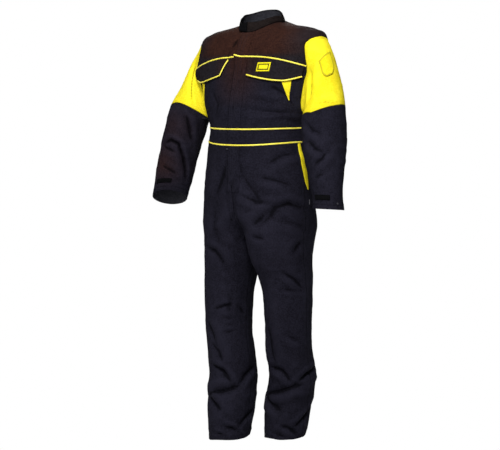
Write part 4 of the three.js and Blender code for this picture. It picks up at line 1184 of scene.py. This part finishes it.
def flap_place(side, across, down):
    """Points and normals of the body under a flap, at shares of its width and depth."""
    flap = FLAPS[side]
    edge = yoke_edge_x()
    top_x = flap["top"] + (edge - flap["top"]) * across
    foot_x = flap["foot"] + (flap["outer"] - flap["foot"]) * across
    x = top_x + (foot_x - top_x) * down
    inner = across < flap["point"]
    away = np.where(inner, 1 - across / flap["point"], (across - flap["point"]) / (1 - flap["point"]))
    ends = np.where(inner, flap["inner_depth"], flap["outer_depth"])
    depth = FLAP_DEPTH * (1 + (ends - 1) * np.abs(away) ** 1.6)
    top_angle = angle_at(np.full(top_x.shape, float(YOKE)), top_x)
    top = plain_body(LEFT, top_angle, YOKE)[..., 2] - PIPING_WIDTH
    start_angle = float(angle_at(YOKE, flap["top"]))
    foot = plain_body(LEFT, start_angle, YOKE)[2] - PIPING_WIDTH - depth
    z = top + (np.minimum(foot, top - 2 * PIPING_WIDTH) - top) * down
    return front(side * x, front_row(side * x, z))


def flap_lift(down):
    return FLAP_LIFT + 4 * down + 1.2 * np.sin(math.pi * np.clip(down, 0, 1))


for name, side in SIDES.items():
    across, down = np.meshgrid(spaced(FLAP_SPAN, 5), spaced(FLAP_DEPTH, 4.5))
    points, normals = flap_place(side, across, down)
    points = points + normals * flap_lift(down)[..., None]
    sew(
        f"pocket_flap_{name}_cloth", points, BROWN_BLACK, INNER, ("start", "end", "foot"),
        thickness=TRIM_CLOTH, flip=side == LEFT,
    )
    foot_across = np.linspace(0, 1, 70)
    foot_down = np.ones(70)
    if side == RIGHT:
        foot_across = np.concatenate([np.zeros(22), foot_across[1:]])
        foot_down = np.concatenate([np.linspace(0.06, 1, 22), foot_down[1:]])
    points, normals = flap_place(side, foot_across, foot_down)
    points = points + normals * (flap_lift(foot_down) + 0.2)[:, None]
    strip(f"flap_piping_{name}_cord", points, normals, *FLAP_PIPING_SECTION, PIPING)


def seat_row(z):
    """Row of the seat whose side is at a height."""
    return np.interp(z, BODY[BAND:CROTCH + 1, 1][::-1], np.arange(CROTCH, BAND - 1, -1))


for name, side in SIDES.items():
    share = (CHEST_WEDGE_X - FLAPS[LEFT]["foot"]) / (FLAPS[LEFT]["outer"] - FLAPS[LEFT]["foot"])
    top = flap_place(side, np.array([share]), np.array([1.0]))[0][0, 2] - PIPING_WIDTH + 1
    t = np.linspace(0, 1, 26)
    place = side * (CHEST_WEDGE_X + 6 * t + 3 * (side == RIGHT)), top - t * CHEST_WEDGE_LENGTH
    points, normals = front(place[0], front_row(*place))
    wide = CHEST_WEDGE_WIDTH + (3 - CHEST_WEDGE_WIDTH) * t
    strip(f"chest_wedge_{name}_cloth", points, normals, 1, 2.0, YELLOW, wide)

    rows = seat_row(BAND_FOOT - PIPING_WIDTH - t * HIP_WEDGE_LENGTH)
    points, normals = body(side, np.radians(85 + 10 * t), rows)
    wide = HIP_WEDGE_WIDTH * np.interp(t, (0, 0.3, 0.65, 0.85, 1), (0.7, 0.95, 1.2, 0.9, 0.15))
    strip(f"hip_wedge_{name}_cloth", points, normals, 1, 2.2, YELLOW, wide)


def chest_patch():
    u, v = np.meshgrid(spaced(PATCH_WIDTH, 4) * 2 - 1, spaced(PATCH_HEIGHT, 3.5))
    x = PATCH_X + u * PATCH_WIDTH / 2 - (v - 0.5) * 5
    top = plain_body(LEFT, angle_at(YOKE, 112.0), YOKE)[2] - PATCH_DROP
    points, normals = front(x, front_row(x, top - v * PATCH_HEIGHT))
    return points + normals * (flap_lift(0.45) + PATCH_LIFT)


laid = {"sewn": ALL_ROUND, "thickness": TRIM_CLOTH}
sew("chest_patch_cloth", chest_patch(), PATCH_YELLOW, YELLOW, flip=True, **laid)


def sleeve_place(side, turn, row, u, v):
    """Points and normals on a sleeve at distances round it and down it from a place."""
    around = math.radians(turn)
    start = sleeve(side, np.array([around, around + 0.1, around]), np.array([row, row, row + 0.1]))[0]
    per_turn = np.linalg.norm(start[1] - start[0]) / 0.1
    per_row = np.linalg.norm(start[2] - start[0]) / 0.1
    return sleeve(side, around + u / per_turn, row + v / per_row)


def laid_grid(width, height, spacing):
    """Distances across and down a laid-on piece from its middle."""
    across = width / 2 * (spaced(width, 4) * 2 - 1)
    return np.meshgrid(across, height / 2 * (spaced(height, spacing) * 2 - 1))


u, v = laid_grid(BADGE_WIDTH, BADGE_HEIGHT, 4)
narrow = np.sqrt(np.clip(1 - (np.clip(v, 0, 42) / 43) ** 2.2, 0.02, 1))
points, normals = sleeve_place(LEFT, *BADGE_PLACE, u * narrow, v)
points = points + normals * BADGE_LIFT
sew("sleeve_badge_cloth", points, BADGE_YELLOW, YELLOW, ALL_ROUND, thickness=BADGE_CLOTH)

for name, side in SIDES.items():
    u, v = laid_grid(CUFF_TAB_LENGTH, CUFF_TAB_WIDTH, 3.5)
    points, normals = sleeve_place(side, *CUFF_TAB_PLACE[side], u, v)
    points = points + normals * CUFF_TAB_LIFT
    sew(f"cuff_tab_{name}_cloth", points, TAB_BLACK, TAB_BLACK, flip=side == RIGHT, **laid)


def collar_points(side, angle, up):
    """Points of the collar and its outward directions at shares of its height."""
    base = plain_body(side, angle, np.full(np.shape(angle), float(NECK)))
    outward = unit(base * np.array([1, 1, 0]))
    section = smooth(np.array(COLLAR[side], float), np.maximum(angle, 0) / math.pi * 4)
    points = base - outward * (COLLAR_LEAN * section[..., 1] * up)[..., None]
    points[..., 2] += SEAM_GAP + up * COLLAR_HEIGHT * section[..., 0]
    swell = 1.6 * np.sin(math.pi * np.clip(up, 0, 1))
    swell += 0.8 * soft_noise(points, 28, 61) + 0.4 * soft_noise(points, 11, 62)
    return points + outward * (swell * np.clip(up * 4, 0, 1))[..., None], outward


def collar():
    """Grid of the collar from one front end round the back to the other."""
    start = float(angle_at(NECK, SEAM_GAP / 2))
    share, up = np.meshgrid(spaced(COLLAR_ROUND, 4.5) * 2 - 1, spaced(COLLAR_HEIGHT, 3))
    angle = math.pi + (start - math.pi) * np.abs(share)
    left, right = collar_points(LEFT, angle, up)[0], collar_points(RIGHT, angle, up)[0]
    return np.where((share < 0)[..., None], left, right)


sew("collar_cloth", collar(), COLLAR_BLACK, INNER, ("top", "foot"), thickness=COLLAR_CLOTH)


def collar_tab():
    """Grid of the tab that laps the collar's ends, lifting a little at its free end."""
    share, up = np.meshgrid(spaced(COLLAR_TAB_WIDTH, 3.5), 0.96 - 0.9 * spaced(COLLAR_TAB_HEIGHT, 3.5))
    x = COLLAR_TAB_WIDTH * share - PLACKET_EDGE - COLLAR_TAB_ASIDE
    angle = angle_at(np.full(x.shape, float(NECK)), np.abs(x))
    left, right = collar_points(LEFT, angle, up), collar_points(RIGHT, angle, up)
    on_left = (x >= 0)[..., None]
    lift = COLLAR_TAB_LIFT + 7 * (1 - share[..., None]) ** 1.5
    return np.where(on_left, left[0], right[0]) + lift * np.where(on_left, left[1], right[1])


sew("collar_tab_cloth", collar_tab(), TAB_BLACK, TAB_BLACK, ALL_ROUND, flip=True)


def stud(name, point, normal):
    """A round press stud, domed by a bevel."""
    bpy.ops.mesh.primitive_cylinder_add(vertices=20, radius=STUD_RADIUS / 1000, depth=STUD_HEIGHT / 1000)
    piece = bpy.context.object
    piece.name = name
    finish_with(piece, "BEVEL", width=STUD_HEIGHT / 3000, segments=2)
    lean = math.atan2(math.hypot(normal[0], normal[1]), normal[2])
    piece.rotation_euler = (0, lean, math.atan2(normal[1], normal[0]))
    piece.location = (point + normal * STUD_HEIGHT / 2) / 1000
    bpy.ops.object.transform_apply(location=True, rotation=True, scale=True)
    bpy.ops.object.shade_smooth_by_angle(angle=math.radians(40))
    piece.data.materials.append(STUD)
    piece.select_set(False)
    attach(piece, "root")


def speckled(name, roughness, specular, scale, deep, light):
    """A plain finish with fine speckle."""
    finish = Finish(name, roughness, 0, specular)
    finish.paint(finish.mix(finish.noise(scale, 2), deep, light))
    return finish.material


THREAD = speckled("grey_thread", 0.6, 0.3, 700, tone(70, 70, 76), tone(112, 112, 118))
STUD = speckled("dark_stud", 0.5, 0.25, 200, tone(44, 44, 50), tone(60, 60, 66))

# Short bars of dense stitches beside the placket and at the hip pockets, and the studs of the cuffs
x = np.linspace(-PLACKET_EDGE - 1, -PLACKET_EDGE + 7, 10)
points, normals = front(x, front_row(x, np.full(10, BAND_FOOT - 26.0)))
strip("waist_bar_tack", points + normals * TACK_LIFT, normals, *TACK_SECTION, STUD)
rows = seat_row(np.linspace(BAND_FOOT - 205, BAND_FOOT - 222, 10))
for name, side in SIDES.items():
    points, normals = body(side, np.full(10, math.radians(97)), rows)
    strip(f"pocket_bar_tack_{name}", points, normals, *TACK_SECTION, THREAD)
    points, normals = sleeve_place(side, *CUFF_STUD_PLACE, np.zeros(1), np.zeros(1))
    stud(f"cuff_stud_{name}", points[0], normals[0])


def aim(thing, target):
    """Turns a light or camera at a point."""
    delta = [t - p for t, p in zip(target, thing.location)]
    flat = math.hypot(delta[0], delta[1])
    thing.rotation_euler = (math.atan2(flat, -delta[2]), 0, math.atan2(-delta[0], delta[1]))


# Camera: turn towards the wearer's left and pitch down in degrees, then distances in metres and the lens
CAMERA_TURN = 40
CAMERA_PITCH = 6.5
CAMERA_DISTANCE = 3.8
CAMERA_ASIDE = 0.0465
CAMERA_LEVEL = -0.31
LENS = 73.5


def studio():
    """Camera, pale floor, pale world and soft lamps."""
    turn, pitch = math.radians(CAMERA_TURN), math.radians(CAMERA_PITCH)
    right = np.array([math.cos(turn), math.sin(turn), 0])
    eye = CAMERA_DISTANCE * np.array([math.sin(turn), -math.cos(turn), 0]) - CAMERA_ASIDE * right
    eye[2] = CAMERA_LEVEL
    camera = bpy.data.objects.new("camera", bpy.data.cameras.new("camera"))
    bpy.context.collection.objects.link(camera)
    camera.data.lens = LENS
    camera.data.sensor_width = 36
    camera.data.clip_end = 100
    camera.location = eye
    camera.rotation_euler = (math.pi / 2 - pitch, 0, turn)
    bpy.context.scene.camera = camera

    bpy.ops.mesh.primitive_plane_add(size=60, location=(0, 0, (HEM_LEVEL - 22) / 1000))
    floor = bpy.context.object
    floor.name = "floor"
    ground = Finish("pale_floor", 0.9, 0, 0.1)
    ground.paint(ground.mix(ground.noise(3).between(0.3, 0.7), tone(196, 196, 197), tone(204, 204, 205)))
    output = ground.nodes["Material Output"]
    glow = ground.add("ShaderNodeEmission", Strength=1.0)
    seen = ground.add("ShaderNodeLightPath", out="Is Camera Ray")
    matt = Wire(ground, ground.shader.outputs[0])
    ground.plug(output.inputs["Surface"], ground.add("ShaderNodeMixShader", _0=seen, _1=matt, _2=glow))
    floor.data.materials.append(ground.material)

    world = bpy.data.worlds.new("studio")
    world.use_nodes = True
    nodes, links = world.node_tree.nodes, world.node_tree.links
    background = nodes["Background"]
    background.inputs[0].default_value = (1, 1, 1, 1)
    seen = nodes.new("ShaderNodeLightPath")
    strength = nodes.new("ShaderNodeMapRange")
    strength.inputs[3].default_value = 0.16
    strength.inputs[4].default_value = 1.0
    links.new(seen.outputs["Is Camera Ray"], strength.inputs[0])
    links.new(strength.outputs[0], background.inputs[1])
    bpy.context.scene.world = world
    bpy.context.scene.view_settings.view_transform = "Standard"

    # Lamps: name, place and size in metres, and power in watts
    lamps = (
        ("key_light", (1.7, -2.6, 2.3), 0.9, 190),
        ("front_light", (0.2, -3.9, 0.2), 2.0, 45),
        ("back_light", (-2.5, 3.0, 1.5), 2.0, 110),
    )
    for name, place, size, power in lamps:
        lamp = bpy.data.objects.new(name, bpy.data.lights.new(name, "AREA"))
        bpy.context.collection.objects.link(lamp)
        lamp.data.size = size
        lamp.data.energy = power
        lamp.location = place
        aim(lamp, (0, 0, -0.6))


studio()
